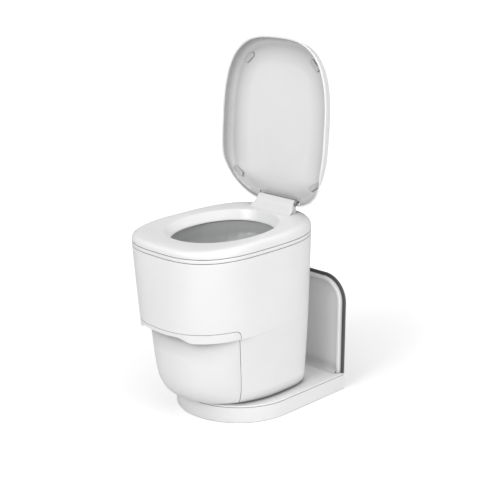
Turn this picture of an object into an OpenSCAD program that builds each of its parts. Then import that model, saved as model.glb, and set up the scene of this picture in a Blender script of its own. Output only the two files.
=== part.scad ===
// Film-sealing dry toilet on a swivelling base, with seat, lid and pull-out waste drawer.
// Origin: the swivel axis where it meets the floor. The front faces -Y.

/* [Base] */
// Half width of the pedestal, also the radius of its round front
base_r = 168; // [150:1:190]
// Height of the pedestal
base_h = 48; // [40:1:60]
// Distance from the swivel axis to the rear of the base
base_rear = 242; // [225:1:260]
// Side wall of the hollow underside
base_wall = 8; // [5:1:12]
// Thickness of the pedestal's top slab
base_slab = 18; // [14:1:22]
// Thickness of the dark spacer behind the shield
spacer_t = 6; // [5:0.5:10]
// Thickness of the white shield
shield_t = 12; // [10:1:18]
// Inset of the shield from the spacer's edge
shield_inset = 8; // [3:0.5:12]
// Height of the spacer's top above the floor
shield_top = 323; // [280:1:360]
// Radius of the spacer's top corners
shield_corner = 72; // [40:1:90]
// Width of the shield's raised border
shield_border = 10; // [6:1:24]
// Depth of the recess inside that border
shield_recess = 6; // [2:1:8]
// Radius of the screws that hold the shield
panel_screw_r = 2.5; // [1.5:0.5:3]
// Floor screw spacing across
screw_x = 216; // [206:2:224]
// Floor screw spacing front to back
screw_y = 124; // [116:2:130]
// Radius of a floor screw hole
screw_r = 3.5; // [2.5:0.5:5]
// Distance of the power inlet from the middle
inlet_x = 110; // [60:2:130]
// Radius of the power inlet
inlet_r = 9; // [6:0.5:10]
// Radius of the inlet's socket
inlet_bore = 4; // [2.5:0.5:5]
// Depth of the power inlet
inlet_l = 22; // [16:1:30]

/* [Swivel] */
// Outer radius of the bearing rings
ring_ro = 110; // [100:1:112]
// Inner radius of the bearing rings
ring_ri = 84; // [76:1:92]
// Height of each bearing ring
ring_h = 8.2; // [6:0.1:10]
// Outer radius of the hollow pivot
pivot_r = 28; // [20:1:34]
// Wall of the hollow pivot
pivot_wall = 6; // [3:1:8]
// Wall of the bush round the pivot
bush_wall = 4; // [3:0.5:6]
// Height of the retaining nut
nut_h = 8; // [6:1:10]

/* [Housing] */
// Height of the underside of the housing
shell_z0 = 55; // [52:1:70]
// Height of the step under the lip
step_z = 250; // [235:1:262]
// Height of the housing's top edge
shell_z1 = 461; // [445:1:475]
// Wall of the housing
shell_wall = 4; // [3:0.5:5]
// Thickness of the chassis pan
pan_t = 5; // [4:0.5:6]
// Width of the control box
control_w = 120; // [90:2:130]
// Depth of the control box
control_d = 24; // [16:1:28]
// Height of the control box
control_h = 90; // [60:2:110]
// Half width at the top edge
top_w = 173; // [168:1:185]
// Y of the front at the top edge
top_front = -288; // [-300:1:-280]
// Y of the rear at the top edge
top_rear = 181.6; // [178:0.2:190]
// Y of the widest station at the top edge
top_mid = -81; // [-100:1:-70]
// Half width at the step
lip_w = 166.6; // [164:0.2:170]
// Y of the front just above the step
lip_front = -284; // [-290:1:-278]
// Y of the rear at the step
lip_rear = 174.6; // [170:0.2:180]
// Y of the widest station at the step
lip_mid = -66; // [-76:1:-56]
// Y of the front just below the step
belly_front = -254; // [-262:1:-246]
// Half width at the underside
foot_w = 142; // [138:1:150]
// Y of the front at the underside
foot_front = -192; // [-200:1:-185]
// Y of the rear at the underside
foot_rear = 157; // [152:1:164]
// Y of the widest station at the underside
foot_mid = 6; // [-4:1:16]
// Power of the front's inward curve towards the underside
belly_power = 6; // [4:0.5:8]

/* [Drawer] */
// Height of the seam above the drawer front
seam_z = 275; // [268:1:284]
// Y of the side seam at the step
seam_y = -149; // [-155:1:-143]
// Forward lean of the side seam, Y per millimetre of height
seam_lean = -0.18; // [-0.2:0.005:-0.14]
// Radius of the seam's corner
seam_corner = 18; // [10:1:24]
// Gap round the drawer front
seam_gap = 1.2; // [0.8:0.1:2]
// Half width of the finger grip
grip_w = 98; // [80:1:104]
// Rise of the grip's arch in the lip
grip_rise = 13; // [8:1:15]
// Length of the curve at each end of the arch
grip_run = 38; // [14:1:50]
// Height of the pocket behind the lip
grip_depth = 18; // [14:1:20]
// Thickness of the lip
lip_t = 5; // [4:0.5:6]
// Travel of the drawer
drawer_travel = 260; // [200:5:260]
// Half width of the bin at its rim
bin_w = 98; // [90:1:99]
// Length of the bin at its rim
bin_l = 300; // [260:2:304]
// Height of the bin
bin_h = 190; // [150:2:192]
// Wall of the bin
bin_wall = 2.5; // [2:0.5:4]

/* [Rim and cassette] */
// Height of the ring between the two seams
rim_h = 9.8; // [9:0.2:12]
// Gap at each seam
rim_gap = 0.8; // [0.3:0.1:1]
// Half width of the film cassette
cassette_w = 138; // [134:1:142]
// Length of the film cassette
cassette_l = 366; // [356:2:372]
// Height of the film cassette
cassette_h = 29; // [24:1:30]
// Half width of the funnel's mouth
funnel_w = 116; // [114:1:120]
// Half width of the throat
throat_w = 72; // [66:1:74]
// Depth of the throat
throat_d = 54; // [48:1:56]
// Wall of the funnel
funnel_wall = 2.5; // [2:0.5:3]
// Wall of the film
film_t = 0.8; // [0.6:0.1:1]

/* [Seat] */
// Half width of the seat's opening
open_w = 108; // [102:1:110]
// Y of the opening's front
open_front = -208; // [-212:1:-200]
// Y of the opening's rear
open_rear = 90; // [84:1:92]
// Height of the opening's edge above the seat's underside
open_rise = 3.6; // [3:0.2:6]
// Half width of the crest that runs round the opening
crest_w = 127; // [120:1:134]
// Y of the crest's front
crest_front = -220.5; // [-226:0.5:-216]
// Y of the crest's rear
crest_rear = 97; // [94:0.5:104]
// Height of the crest's front above the seat's underside
seat_t = 18.4; // [16:0.2:21]
// Extra height of the crest at the rear
seat_rise = 10.5; // [6:0.5:12]

/* [Lid] */
// Y of the lid's hinge axis
axis_y = 148; // [144:1:152]
// Height of the lid's hinge axis
axis_z = 528; // [524:1:534]
// Backward lean of the open lid in degrees
lid_lean = 3.6; // [1:0.1:6]
// Half width of the lid
lid_w = 184; // [180:1:190]
// Reach of the lid from the hinge axis to its far edge
lid_reach = 431; // [425:1:440]
// Reach of the lid past the hinge axis
lid_tail = 14; // [12:1:16]
// Distance from the rim's plane to the hinge axis
rim_offset = 40.5; // [38:0.5:43]
// Distance from the lid's back to the hinge axis
back_offset = 8; // [6:0.5:10]
// Wall of the lid
lid_wall = 4; // [3:0.5:5]
// Length along the lid over which the rim falls away at the hinge
relief_l = 95; // [80:1:110]
// Slope of that fall
relief_slope = 0.345; // [0.3:0.005:0.38]
// Half length of the hinge barrel
barrel_l = 65; // [50:1:67]
// Outer radius of the bracket's curl
curl_r = 9; // [8:0.5:10]
// Radius of the lid's knuckle
knuckle_r = 6.5; // [5:0.5:7]
// Radius of the lid's hinge pin
pin_r = 3; // [2:0.5:4]
// Half width of the bracket where it leaves the seat
bracket_w = 73; // [66:1:80]
// Length of a buffer pad
buffer_l = 38; // [24:1:40]
// Half width of a buffer pad
buffer_r = 7; // [5:0.5:8]
// Height of a buffer pad
buffer_h = 5; // [3:0.5:12]

/* [Seat hinge] */
// Distance of the seat's hinge axis behind the rear of the rim
hinge_out = 8; // [7.6:0.2:10]
// Radius of the seat's hinge knuckles
hinge_r = 7; // [6:0.5:7.5]
// Half distance between the two seat hinges
hinge_x = 60; // [50:1:90]
// Length of each knuckle
hinge_l = 12; // [8:1:16]

/* [Sealing unit] */
// Half width of the frame between its side plates
frame_w = 118; // [114:1:122]
// Y of the frame's front plate
frame_front = -134; // [-140:1:-132]
// Y of the frame's rear plate
frame_rear = 97; // [92:1:104]
// Underside of the frame
frame_z0 = 272; // [270:1:276]
// Thickness of the frame's plates
frame_t = 5; // [4:0.5:6]
// Underside of the deck
deck_z = 344; // [340:1:350]
// Thickness of the deck
deck_t = 6; // [4:0.5:8]
// Y of the throat's centre
throat_y = -59; // [-64:1:-54]
// Height of the jaws
jaw_h = 27; // [26:0.5:27.5]
// Thickness of each jaw
jaw_t = 14; // [10:1:16]
// Underside of the jaws
jaw_z = 308; // [306:1:312]
// Stroke of the moving jaw
jaw_stroke = 59.5; // [50:0.5:60]
// Gap left for the film when the jaws are closed
jaw_gap = 0.5; // [0.3:0.1:1]
// Radius of the guide rods
rod_r = 5; // [4:0.5:6]
// Distance of the guide rods inside the frame's side plates
rod_inset = 10; // [9:0.5:12]
// Module of the gears and racks
gear_m = 1.5; // [1.25:0.25:1.5]
// Teeth of each rack pinion
pinion_n = 16; // [14:1:18]
// Teeth of the reduction gear
reduction_n = 24; // [20:1:26]
// Teeth of the motor pinion
motor_n = 12; // [12:1:14]
// Face width of the gears
gear_w = 6; // [4:0.5:8]
// Distance of the racks inside the frame's side plates
rack_inset = 22; // [20:0.5:23]
// Radius of the shafts
shaft_r = 4; // [3:0.5:5]
// Y of the jaw shaft
shaft_y = 15; // [12:1:20]
// Teeth of the roller gears
roller_n = 20; // [18:1:22]
// Module of the roller gears
roller_m = 1.25; // [1:0.25:1.25]
// Half gap between the film rollers
roller_gap = 0.7; // [0.4:0.1:1.2]
// Height of the roller axes
roller_z = 290; // [288:1:291]
// Distance of the rollers' ends inside the frame's side plates
roller_inset = 43; // [41:1:48]

/* [Running fits] */
// Radial clearance of a shaft in its bore
fit = 0.05; // [0.02:0.01:0.1]
// Face clearance between parts that move past each other
slip = 0.3; // [0.2:0.05:0.5]

/* [Hidden] */
steps = 60;
over = 1;
white = [0.93, 0.93, 0.93];
dark = [0.32, 0.33, 0.34];
grey = [0.6, 0.61, 0.62];
steel = [0.72, 0.73, 0.75];

// Sections are [half width, y of the widest station, y front, y rear, front power, rear power]
rim_sec = [top_w, top_mid, top_front, top_rear, 2.97, 3];
lip_sec = [lip_w, lip_mid, lip_front, lip_rear, 2.4, 3.1];
belly_sec = [lip_w, lip_mid, belly_front, lip_rear, 2.2, 3.1];
foot_sec = [foot_w, foot_mid, foot_front, foot_rear, 2.05, 3.8];
open_sec = [open_w, throat_y + 9, open_front, open_rear, 2.1, 2.15];
crest_sec = [crest_w, throat_y + 2, crest_front, crest_rear, 2.15, 2.2];
rim_z = shell_z1 + rim_gap;
seat_z = rim_z + rim_h + rim_gap;
lid_mid = 190;
spacer_y = base_rear - spacer_t;
shield_y = spacer_y - shield_t;
screw_seat = base_rear - 3;
screw_tip = shield_y + shield_recess + 2.2;
recess_z = base_h - ring_h - 2;
inlet_z = 15;
nut_z = shell_z0 + pan_t + slip;
seam_top = seam_z - seam_gap;
cassette_mid = -59;
cassette_sec = [cassette_w, cassette_mid, cassette_mid - cassette_l / 2, cassette_mid + cassette_l / 2, 2.3, 2.3];
cassette_z = rim_z + rim_h - cassette_h - 1;
funnel_sec = [funnel_w, cassette_mid, open_front - 8, open_rear + 8, 2.1, 2.15];
throat_sec = [throat_w, throat_y, throat_y - throat_d / 2, throat_y + throat_d / 2, 4, 4];
funnel_top = cassette_z - slip;
flange_t = 4;
deck_top = deck_z + deck_t;
collar_z = deck_top + 1;
rod_x = frame_w - rod_inset;
rack_x = frame_w - rack_inset;
roller_l = frame_w - roller_inset;
fixed_face = throat_y + throat_d / 2 + 3;
moving_face = fixed_face - jaw_gap - jaw_stroke;
pitch_r = gear_m * pinion_n / 2;
rack_line = jaw_z - 2 * gear_m;
shaft_z = rack_line + pitch_r;
rod_z = shaft_z + shaft_r + rod_r + 1;
motor_gap = gear_m * (reduction_n + motor_n) / 2;
motor_y = shaft_y + motor_gap;
reduction_x = -60;
roller_pitch = roller_m * roller_n;
roller_r = roller_pitch / 2 - roller_gap;
roller_gear_x = roller_l + 5;
rail_z0 = shell_z0 + 7;
cradle_z = rail_z0 + 8.5;
rail_h = 22;
rail_front = -124;
rail_l = 234;
hinge_y = top_rear + hinge_out;
hinge_z = seat_z;
pi = 3.14159265;

function spow(v, p) = sign(v) * pow(abs(v), p);
function mix(p, q, t) = p + (q - p) * t;
function smooth(t) = let(c = max(0, min(1, t))) c * c * (3 - 2 * c);
function shrink(s, d) = [s[0] - d, s[1], s[2] + d, s[3] - d, s[4], s[5]];
// Point of a section at angle a, 0 at the front, turning towards +X
function sec_pt(s, a) =
  let(front = cos(a) > 0, e = front ? s[4] : s[5], b = front ? s[1] - s[2] : s[3] - s[1])
  [s[0] * spow(sin(a), 2 / e), s[1] - b * spow(cos(a), 2 / e)];
function outline(s) = [for (i = [0:steps - 1]) sec_pt(s, 360 * i / steps)];
function ring(s, z) = [for (p = outline(s)) [p[0], p[1], z]];
function upper_sec(z) = mix(lip_sec, rim_sec, (z - step_z) / (shell_z1 - step_z));
function lower_sec(z) =
  let(t = (step_z - z) / (step_z - shell_z0), s = mix(belly_sec, foot_sec, t))
  [s[0], s[1], mix(belly_front, foot_front, pow(max(0, t), belly_power)), s[3], s[4], s[5]];
function seam_at(z) = seam_y + seam_lean * (z - step_z);

// Closed skin through rings of equal count, with flat caps
module loft(rings) {
  n = len(rings[0]);
  m = len(rings);
  pts = [for (r = rings) for (p = r) p];
  side = [for (j = [0:m - 2]) for (i = [0:n - 1]) let(a = j * n + i, b = j * n + (i + 1) % n)
    each [[a, a + n, b + n], [a, b + n, b]]];
  caps = [[for (i = [0:n - 1]) i], [for (i = [0:n - 1]) m * n - 1 - i]];
  polyhedron(pts, concat(side, caps));
}

// Closed skin through rings that join end to end, as round a seat
module torus_loft(rings) {
  n = len(rings[0]);
  m = len(rings);
  pts = [for (r = rings) for (p = r) p];
  side = [for (j = [0:m - 1]) for (i = [0:n - 1])
    let(a = j * n + i, b = j * n + (i + 1) % n, k = ((j + 1) % m - j) * n)
    each [[a, a + k, b + k], [a, b + k, b]]];
  polyhedron(pts, side);
}

module tube(ro, ri, h) {
  difference() {
    cylinder(r = ro, h = h, $fn = 96);
    translate([0, 0, -over]) cylinder(r = ri, h = h + 2 * over, $fn = 96);
  }
}

// Round bar along X
module bar_x(r, x0, x1) {
  translate([x0, 0, 0]) rotate([0, 90, 0]) cylinder(r = r, h = x1 - x0, $fn = 48);
}

// Involute spur gear outline with a tooth on +X
function inv_deg(a) = tan(a) * 180 / pi - a;
function flank(rp, half, r) = half + inv_deg(20) - inv_deg(acos(min(1, rp * cos(20) / r)));
function polar(r, a) = [r * cos(a), r * sin(a)];
function gear_pts(m, n, play) =
  let(rp = m * n / 2, ra = rp + 0.85 * m, rf = rp - 1.15 * m, rb = max(rf + 0.01, rp * cos(20)),
      half = 90 / n - play)
  [for (k = [0:n - 1]) let(c = 360 * k / n)
    each [polar(rf, c - flank(rp, half, rb)), polar(rb, c - flank(rp, half, rb)),
      polar(rp, c - half), polar(ra, c - flank(rp, half, ra)),
      polar(ra, c + flank(rp, half, ra)), polar(rp, c + half),
      polar(rb, c + flank(rp, half, rb)), polar(rf, c + flank(rp, half, rb))]];

// Gear across X, with a tooth at angle a from +Y towards +Z
module gear_x(m, n, x0, w, a, bore) {
  translate([x0, 0, 0]) rotate([90, 0, 90]) rotate([0, 0, a]) difference() {
    linear_extrude(height = w) polygon(gear_pts(m, n, 0.7));
    translate([0, 0, -over]) cylinder(r = bore, h = w + 2 * over, $fn = 48);
  }
}

module base_outline(d) {
  circle(r = base_r - d, $fn = 96);
  translate([-base_r + d, 0]) square([2 * (base_r - d), base_rear - d]);
}

module screw_spots() {
  for (x = [-1, 1], y = [-1, 1]) translate([x * screw_x / 2, y * screw_y / 2, 0]) children();
}

module base_plate() color(white) difference() {
  union() {
    difference() {
      linear_extrude(height = base_h) base_outline(0);
      translate([0, 0, -over])
        linear_extrude(height = base_h - base_slab + over) base_outline(base_wall);
    }
    screw_spots() cylinder(r = 14, h = base_h - base_slab + over, $fn = 48);
    cylinder(r = pivot_r + bush_wall, h = base_h - base_slab + over, $fn = 96);
  }
  translate([0, 0, recess_z]) cylinder(r = ring_ro + slip, h = base_h, $fn = 96);
  translate([0, 0, -over]) cylinder(r = pivot_r, h = base_h, $fn = 96);
  screw_spots() {
    translate([0, 0, -over]) cylinder(r = screw_r, h = base_h + 2 * over, $fn = 32);
    translate([0, 0, 8]) cylinder(r = 3 * screw_r, h = base_h, $fn = 48);
  }
  translate([inlet_x, base_rear - base_wall - over, inlet_z]) rotate([-90, 0, 0])
    cylinder(r = inlet_r, h = base_wall + 2 * over, $fn = 48);
}

// Shield outline in X and Z, drawn flat
module shield_outline(d) {
  r = shield_corner - d;
  translate([-base_r + d, base_h]) square([2 * (base_r - d), shield_top - base_h - shield_corner]);
  for (s = [-1, 1]) translate([s * (base_r - shield_corner), shield_top - shield_corner])
    circle(r = r, $fn = 96);
  translate([-base_r + shield_corner, base_h])
    square([2 * (base_r - shield_corner), shield_top - base_h - d]);
}

module upright(y0, t) {
  translate([0, y0 + t, 0]) rotate([90, 0, 0]) linear_extrude(height = t) children();
}

module panel_screw_spots() {
  for (x = [-1, 1], z = [base_h + 62, shield_top - 83]) translate([x * (base_r - 58), 0, z]) children();
}

module back_panel() color(white) difference() {
  upright(shield_y, shield_t) shield_outline(shield_inset);
  upright(shield_y - over, shield_recess + over) shield_outline(shield_inset + shield_border);
  panel_screw_spots() translate([0, shield_y + shield_recess + 2, 0]) rotate([-90, 0, 0])
    cylinder(r = panel_screw_r, h = shield_t, $fn = 32);
}

module wall_spacer() color(dark) difference() {
  upright(spacer_y, spacer_t) shield_outline(0);
  panel_screw_spots() translate([0, spacer_y - over, 0]) rotate([-90, 0, 0])
    cylinder(r = panel_screw_r, h = spacer_t + 2 * over, $fn = 32);
  panel_screw_spots() translate([0, screw_seat, 0]) rotate([-90, 0, 0])
    cylinder(r = 2 * panel_screw_r + 0.2, h = spacer_t, $fn = 32);
}

module panel_screws() color(steel) panel_screw_spots() {
  translate([0, screw_tip, 0]) rotate([-90, 0, 0])
    cylinder(r = panel_screw_r, h = screw_seat - screw_tip, $fn = 32);
  translate([0, screw_seat, 0]) rotate([-90, 0, 0]) cylinder(r = 2 * panel_screw_r, h = 2.5, $fn = 32);
}

module power_inlet() color(dark) difference() {
  translate([inlet_x, base_rear - inlet_l, inlet_z]) rotate([-90, 0, 0]) {
    cylinder(r = inlet_r - fit, h = inlet_l, $fn = 48);
    cylinder(r = inlet_r + 3, h = inlet_l - base_wall, $fn = 48);
  }
  translate([inlet_x, base_rear - inlet_l + 6, inlet_z]) rotate([-90, 0, 0])
    cylinder(r = inlet_bore, h = inlet_l, $fn = 48);
}

module bearing_lower() color(grey) translate([0, 0, recess_z]) tube(ring_ro, ring_ri, ring_h);

module bearing_upper() color(grey)
  translate([0, 0, recess_z + ring_h + slip])
    tube(ring_ro, ring_ri, shell_z0 - recess_z - ring_h - slip);

module pivot_tube() color(steel)
  tube(pivot_r, pivot_r - pivot_wall, nut_z + nut_h + 1);

module pivot_bush() color(dark) translate([0, 0, base_h - 8])
  tube(pivot_r + bush_wall, pivot_r + fit, shell_z0 + pan_t - base_h + 8);

module pivot_nut() color(steel) translate([0, 0, nut_z]) difference() {
  tube(pivot_r + 10, pivot_r, nut_h);
  for (a = [0:45:315]) rotate([0, 0, a]) translate([pivot_r + 7, -3, nut_h - 4]) cube([6, 6, 5]);
}

module body_loft(d, z0, z1) {
  low = [for (z = [shell_z0, 60, 66, 74, 84, 98, 116, 140, 175, 215]) if (z > z0 && z < step_z) z];
  rings = concat(
    [ring(shrink(lower_sec(z0), d), z0)],
    [for (z = low) ring(shrink(lower_sec(z), d), z)],
    [ring(shrink(lower_sec(step_z), d), step_z + (d > 0 ? d : 0)),
     ring(shrink(upper_sec(step_z), d), step_z + 1 + (d > 0 ? d : 0)),
     ring(shrink(upper_sec(330), d), 330),
     ring(shrink(upper_sec(z1), d), z1)]);
  loft(rings);
}

// Everything in front of the side seam and below the top seam
module front_block(g) {
  r = seam_corner - g;
  zc = seam_z - seam_corner;
  yc = seam_at(zc) - seam_corner;
  profile = concat(
    [[-400, 0], [seam_at(0) - g, 0]],
    [for (a = [0:15:90]) [yc + r * cos(a), zc + r * sin(a)]],
    [[-400, seam_z - g]]);
  translate([-300, 0, 0]) rotate([90, 0, 90]) linear_extrude(height = 600) polygon(profile);
}

module housing_shell() color(white) difference() {
  body_loft(0, shell_z0, shell_z1);
  difference() {
    body_loft(shell_wall, shell_z0 - over, shell_z1 + over);
    deck_ledge();
  }
  front_block(0);
}

// Ribs inside the shell that carry the deck
module deck_ledge() {
  for (x = [-1, 1]) translate([x * (lip_w - 8) - 12, -60, deck_z - 12]) cube([24, 60, 12]);
}

module rim_frame() color(white) difference() {
  union() {
    translate([0, 0, rim_z]) linear_extrude(height = rim_h) polygon(outline(rim_sec));
    translate([0, 0, funnel_top]) linear_extrude(height = rim_z - funnel_top + over) difference() {
      polygon(outline(shrink(upper_sec(funnel_top), shell_wall + slip)));
      polygon(outline(shrink(upper_sec(funnel_top), 3 * shell_wall)));
    }
    for (s = [-1, 1]) frame_knuckle(s);
  }
  translate([0, 0, funnel_top - over]) linear_extrude(height = 60)
    polygon(outline(shrink(cassette_sec, -1)));
  for (s = [-1, 1]) translate([0, hinge_y, hinge_z]) bar_x(pin_r + fit, s * hinge_x - 30, s * hinge_x + 30);
  for (s = [-1, 1]) seat_knuckle_room(s);
}

// Knuckles: the frame's inboard one and the seat's outboard one, on one pin
module knuckle(x0, w, down) {
  translate([0, hinge_y, hinge_z]) bar_x(hinge_r, x0, x0 + w);
  translate([x0, top_rear - 12, down ? hinge_z - hinge_r : hinge_z])
    cube([w, hinge_out + 12, hinge_r]);
}

module frame_knuckle(s) {
  knuckle(s > 0 ? hinge_x - hinge_l : -hinge_x, hinge_l, true);
}

module seat_knuckle(s) {
  knuckle(s > 0 ? hinge_x + slip : -hinge_x - slip - hinge_l, hinge_l, false);
}

module seat_knuckle_room(s) {
  translate([s > 0 ? hinge_x + slip / 2 : -hinge_x - hinge_l - 2 * slip, hinge_y, hinge_z])
    bar_x(hinge_r + slip, 0, hinge_l + 1.5 * slip);
}

module seat_hinge_pins() color(steel) for (s = [-1, 1]) translate([0, hinge_y, hinge_z])
  bar_x(pin_r, s > 0 ? hinge_x - hinge_l : -hinge_x - hinge_l - slip,
        s > 0 ? hinge_x + hinge_l + slip : -hinge_x + hinge_l);

module chassis_pan() color(dark) difference() {
  translate([0, 0, shell_z0]) linear_extrude(height = pan_t)
    polygon(outline(shrink(lower_sec(shell_z0), shell_wall + slip)));
  translate([0, 0, shell_z0 - over]) cylinder(r = pivot_r + bush_wall, h = 8, $fn = 96);
  translate([-300, -400, 0]) cube([600, 400 + seam_at(shell_z0) + 2, 100]);
}

// Columns carry the feet of the frame, just inside the narrow underside of the housing
module chassis_columns() color(steel) for (x = [-1, 1], y = [foot_mid - 26, frame_rear - 17])
  translate([x * (foot_w - 21), y, shell_z0 + pan_t]) cylinder(r = 6, h = frame_z0 - shell_z0 - pan_t, $fn = 32);

module mechanism_deck() color(steel) difference() {
  translate([0, 0, deck_z]) linear_extrude(height = deck_t)
    polygon(outline(shrink(upper_sec(deck_z), shell_wall + slip)));
  translate([0, 0, deck_z - over]) linear_extrude(height = deck_t + 2 * over)
    polygon(outline(shrink(throat_sec, -funnel_wall - slip)));
}

module sealing_frame() color(steel) difference() {
  union() {
    for (s = [-1, 1]) translate([s > 0 ? frame_w : -frame_w - frame_t, frame_front, frame_z0])
      cube([frame_t, frame_rear - frame_front, deck_z - frame_z0]);
    for (y = [frame_front, frame_rear - frame_t]) translate([-frame_w, y, frame_z0])
      cube([2 * frame_w, frame_t, deck_z - frame_z0]);
    for (s = [-1, 1]) translate([s > 0 ? frame_w - 12 : -frame_w, frame_front, frame_z0])
      cube([12, frame_rear - frame_front, 4]);
  }
  for (s = [-1, 1]) translate([s * rod_x, frame_front - over, rod_z]) rotate([-90, 0, 0])
    cylinder(r = rod_r + fit, h = frame_rear - frame_front + 2 * over, $fn = 48);
  translate([0, shaft_y, shaft_z]) bar_x(shaft_r + fit, -frame_w - 10, frame_w + 10);
  for (s = [-1, 1]) translate([0, throat_y + s * roller_pitch / 2, roller_z])
    bar_x(shaft_r + fit, -frame_w - 10, frame_w + 10);
}

module jaw_guide_rods() color(steel) for (s = [-1, 1])
  translate([s * rod_x, frame_front + over, rod_z]) rotate([-90, 0, 0])
    cylinder(r = rod_r, h = frame_rear - frame_front - 2 * over, $fn = 48);

module jaw(y0) {
  difference() {
    translate([-frame_w + slip, y0, jaw_z]) cube([2 * (frame_w - slip), jaw_t, jaw_h]);
    for (s = [-1, 1]) translate([s * rod_x, y0 - over, rod_z]) rotate([-90, 0, 0])
      cylinder(r = rod_r + fit, h = jaw_t + 2 * over, $fn = 48);
  }
}

module fixed_jaw() color(grey) jaw(fixed_face);

module moving_jaw() color(grey) jaw(moving_face - jaw_t);

// Racks run under the jaws, teeth up, with a gap under the pinion at rest
module jaw_racks() color(dark) {
  p = pi * gear_m;
  y0 = moving_face - jaw_t;
  y1 = shaft_y + 13;
  root = rack_line - 1.15 * gear_m;
  tip = rack_line + 0.85 * gear_m;
  first = ceil((shaft_y - jaw_stroke - 8 - shaft_y) / p - 0.5);
  last = floor((y1 - 2 - shaft_y) / p - 0.5);
  for (s = [-1, 1]) {
    translate([s * rack_x - gear_w / 2, 0, 0]) rotate([90, 0, 90])
      linear_extrude(height = gear_w) union() {
        translate([y0, root - 7]) square([y1 - y0, 7]);
        translate([y0, root - 7]) square([jaw_t, jaw_z - root + 7]);
        for (k = [first:last]) let(c = shaft_y + (k + 0.5) * p, b = 0.24 * p, g = tan(20))
          polygon([[c - b - g * 1.15 * gear_m, root - 0.01], [c - b + g * 0.85 * gear_m, tip],
            [c + b - g * 0.85 * gear_m, tip], [c + b + g * 1.15 * gear_m, root - 0.01]]);
      }
  }
}

module jaw_shaft() color(steel) translate([0, shaft_y, shaft_z]) difference() {
  bar_x(shaft_r, -frame_w - frame_t + 1, frame_w + frame_t - 1);
  translate([frame_w - 6, shaft_r - 1, -shaft_r]) cube([3, 2, 2 * shaft_r]);
}

module jaw_pinions() color(dark) translate([0, shaft_y, shaft_z]) for (s = [-1, 1])
  gear_x(gear_m, pinion_n, s * rack_x - gear_w / 2, gear_w, -90, shaft_r);

module reduction_gear() color(grey) translate([0, shaft_y, shaft_z])
  gear_x(gear_m, reduction_n, reduction_x, gear_w, 0, shaft_r);

module motor_pinion() color(steel) translate([0, motor_y, shaft_z]) {
  gear_x(gear_m, motor_n, reduction_x, gear_w, 180 + 180 / motor_n, 2.9);
  bar_x(3, reduction_x - 2, reduction_x + gear_w + 12);
}

module seal_motor() color(dark) translate([0, motor_y, shaft_z]) difference() {
  bar_x(17, reduction_x + gear_w + 10, reduction_x + gear_w + 75);
  bar_x(3 + fit, reduction_x, reduction_x + gear_w + 12.5);
}

module motor_bracket() color(steel) difference() {
  translate([reduction_x + gear_w + 6, motor_y - 20, shaft_z - 20])
    cube([4, 40, deck_z - shaft_z + 20]);
  translate([reduction_x + gear_w, motor_y, shaft_z]) bar_x(3.5, 0, 20);
}

module feed_motor() color(dark)
  translate([0, throat_y + roller_pitch / 2, roller_z]) difference() {
    bar_x(14, -frame_w - frame_t - 26, -frame_w - frame_t);
    bar_x(shaft_r + fit, -frame_w - frame_t - 8, -frame_w);
  }

module feed_roller(s) {
  translate([0, throat_y + s * roller_pitch / 2, roller_z]) difference() {
    bar_x(roller_r, -roller_l, roller_l);
    bar_x(shaft_r, -roller_l - over, roller_l + over);
  }
}

module roller_shaft(s) {
  reach = s > 0 ? frame_t + 7 : frame_t - 1;
  translate([0, throat_y + s * roller_pitch / 2, roller_z]) {
    bar_x(shaft_r, -frame_w - reach, frame_w + frame_t - 1);
    gear_x(roller_m, roller_n, roller_gear_x, gear_w, s > 0 ? 180 : 180 / roller_n, shaft_r - 0.1);
  }
}

module front_feed_roller() color(dark) feed_roller(-1);
module rear_feed_roller() color(dark) feed_roller(1);
module front_roller_shaft() color(steel) roller_shaft(-1);
module rear_roller_shaft() color(steel) roller_shaft(1);

module control_box() color(dark) translate([-control_w / 2, frame_rear + 17, shell_z0 + pan_t]) difference() {
  cube([control_w, control_d, control_h]);
  translate([8, -over, control_h - 25]) rotate([-90, 0, 0]) cylinder(r = 3, h = 8, $fn = 24);
}

function funnel_at(t) = let(k = smooth(t)) mix(throat_sec, funnel_sec, k);

// Straight through the deck, then flared to the mouth
module funnel_loft(d, z0, z1) {
  flare = [for (i = [0:6]) i / 6];
  loft(concat(
    [ring(shrink(throat_sec, d), z0)],
    [for (u = flare) ring(shrink(funnel_at(u), d), mix(collar_z, funnel_top, u))],
    z1 > funnel_top ? [ring(shrink(funnel_sec, d), z1)] : []));
}

module bowl_funnel() color(grey) difference() {
  union() {
    funnel_loft(-funnel_wall, deck_z, funnel_top);
    translate([0, 0, funnel_top - flange_t]) linear_extrude(height = flange_t)
      polygon(outline(shrink(upper_sec(funnel_top - flange_t), shell_wall + slip)));
  }
  funnel_loft(0, deck_z - over, funnel_top + over);
}

post_spots = [[lip_w - 58, lip_front + 100], [lip_w - 28, lip_mid + 6], [lip_w - 49, lip_rear - 65]];

module funnel_posts() color(steel) for (x = [-1, 1], p = post_spots) translate([x * p[0], p[1], deck_top])
  cylinder(r = 5, h = funnel_top - flange_t - deck_top, $fn = 32);

module liner_cassette() color(grey) translate([0, 0, cassette_z]) difference() {
  linear_extrude(height = cassette_h) polygon(outline(cassette_sec));
  translate([0, 0, -over]) linear_extrude(height = cassette_h + 2 * over)
    polygon(outline(funnel_sec));
  translate([0, 0, 4]) difference() {
    linear_extrude(height = cassette_h - 8) polygon(outline(shrink(cassette_sec, 3)));
    translate([0, 0, -over]) linear_extrude(height = cassette_h)
      polygon(outline(shrink(funnel_sec, -3)));
  }
}

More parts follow.
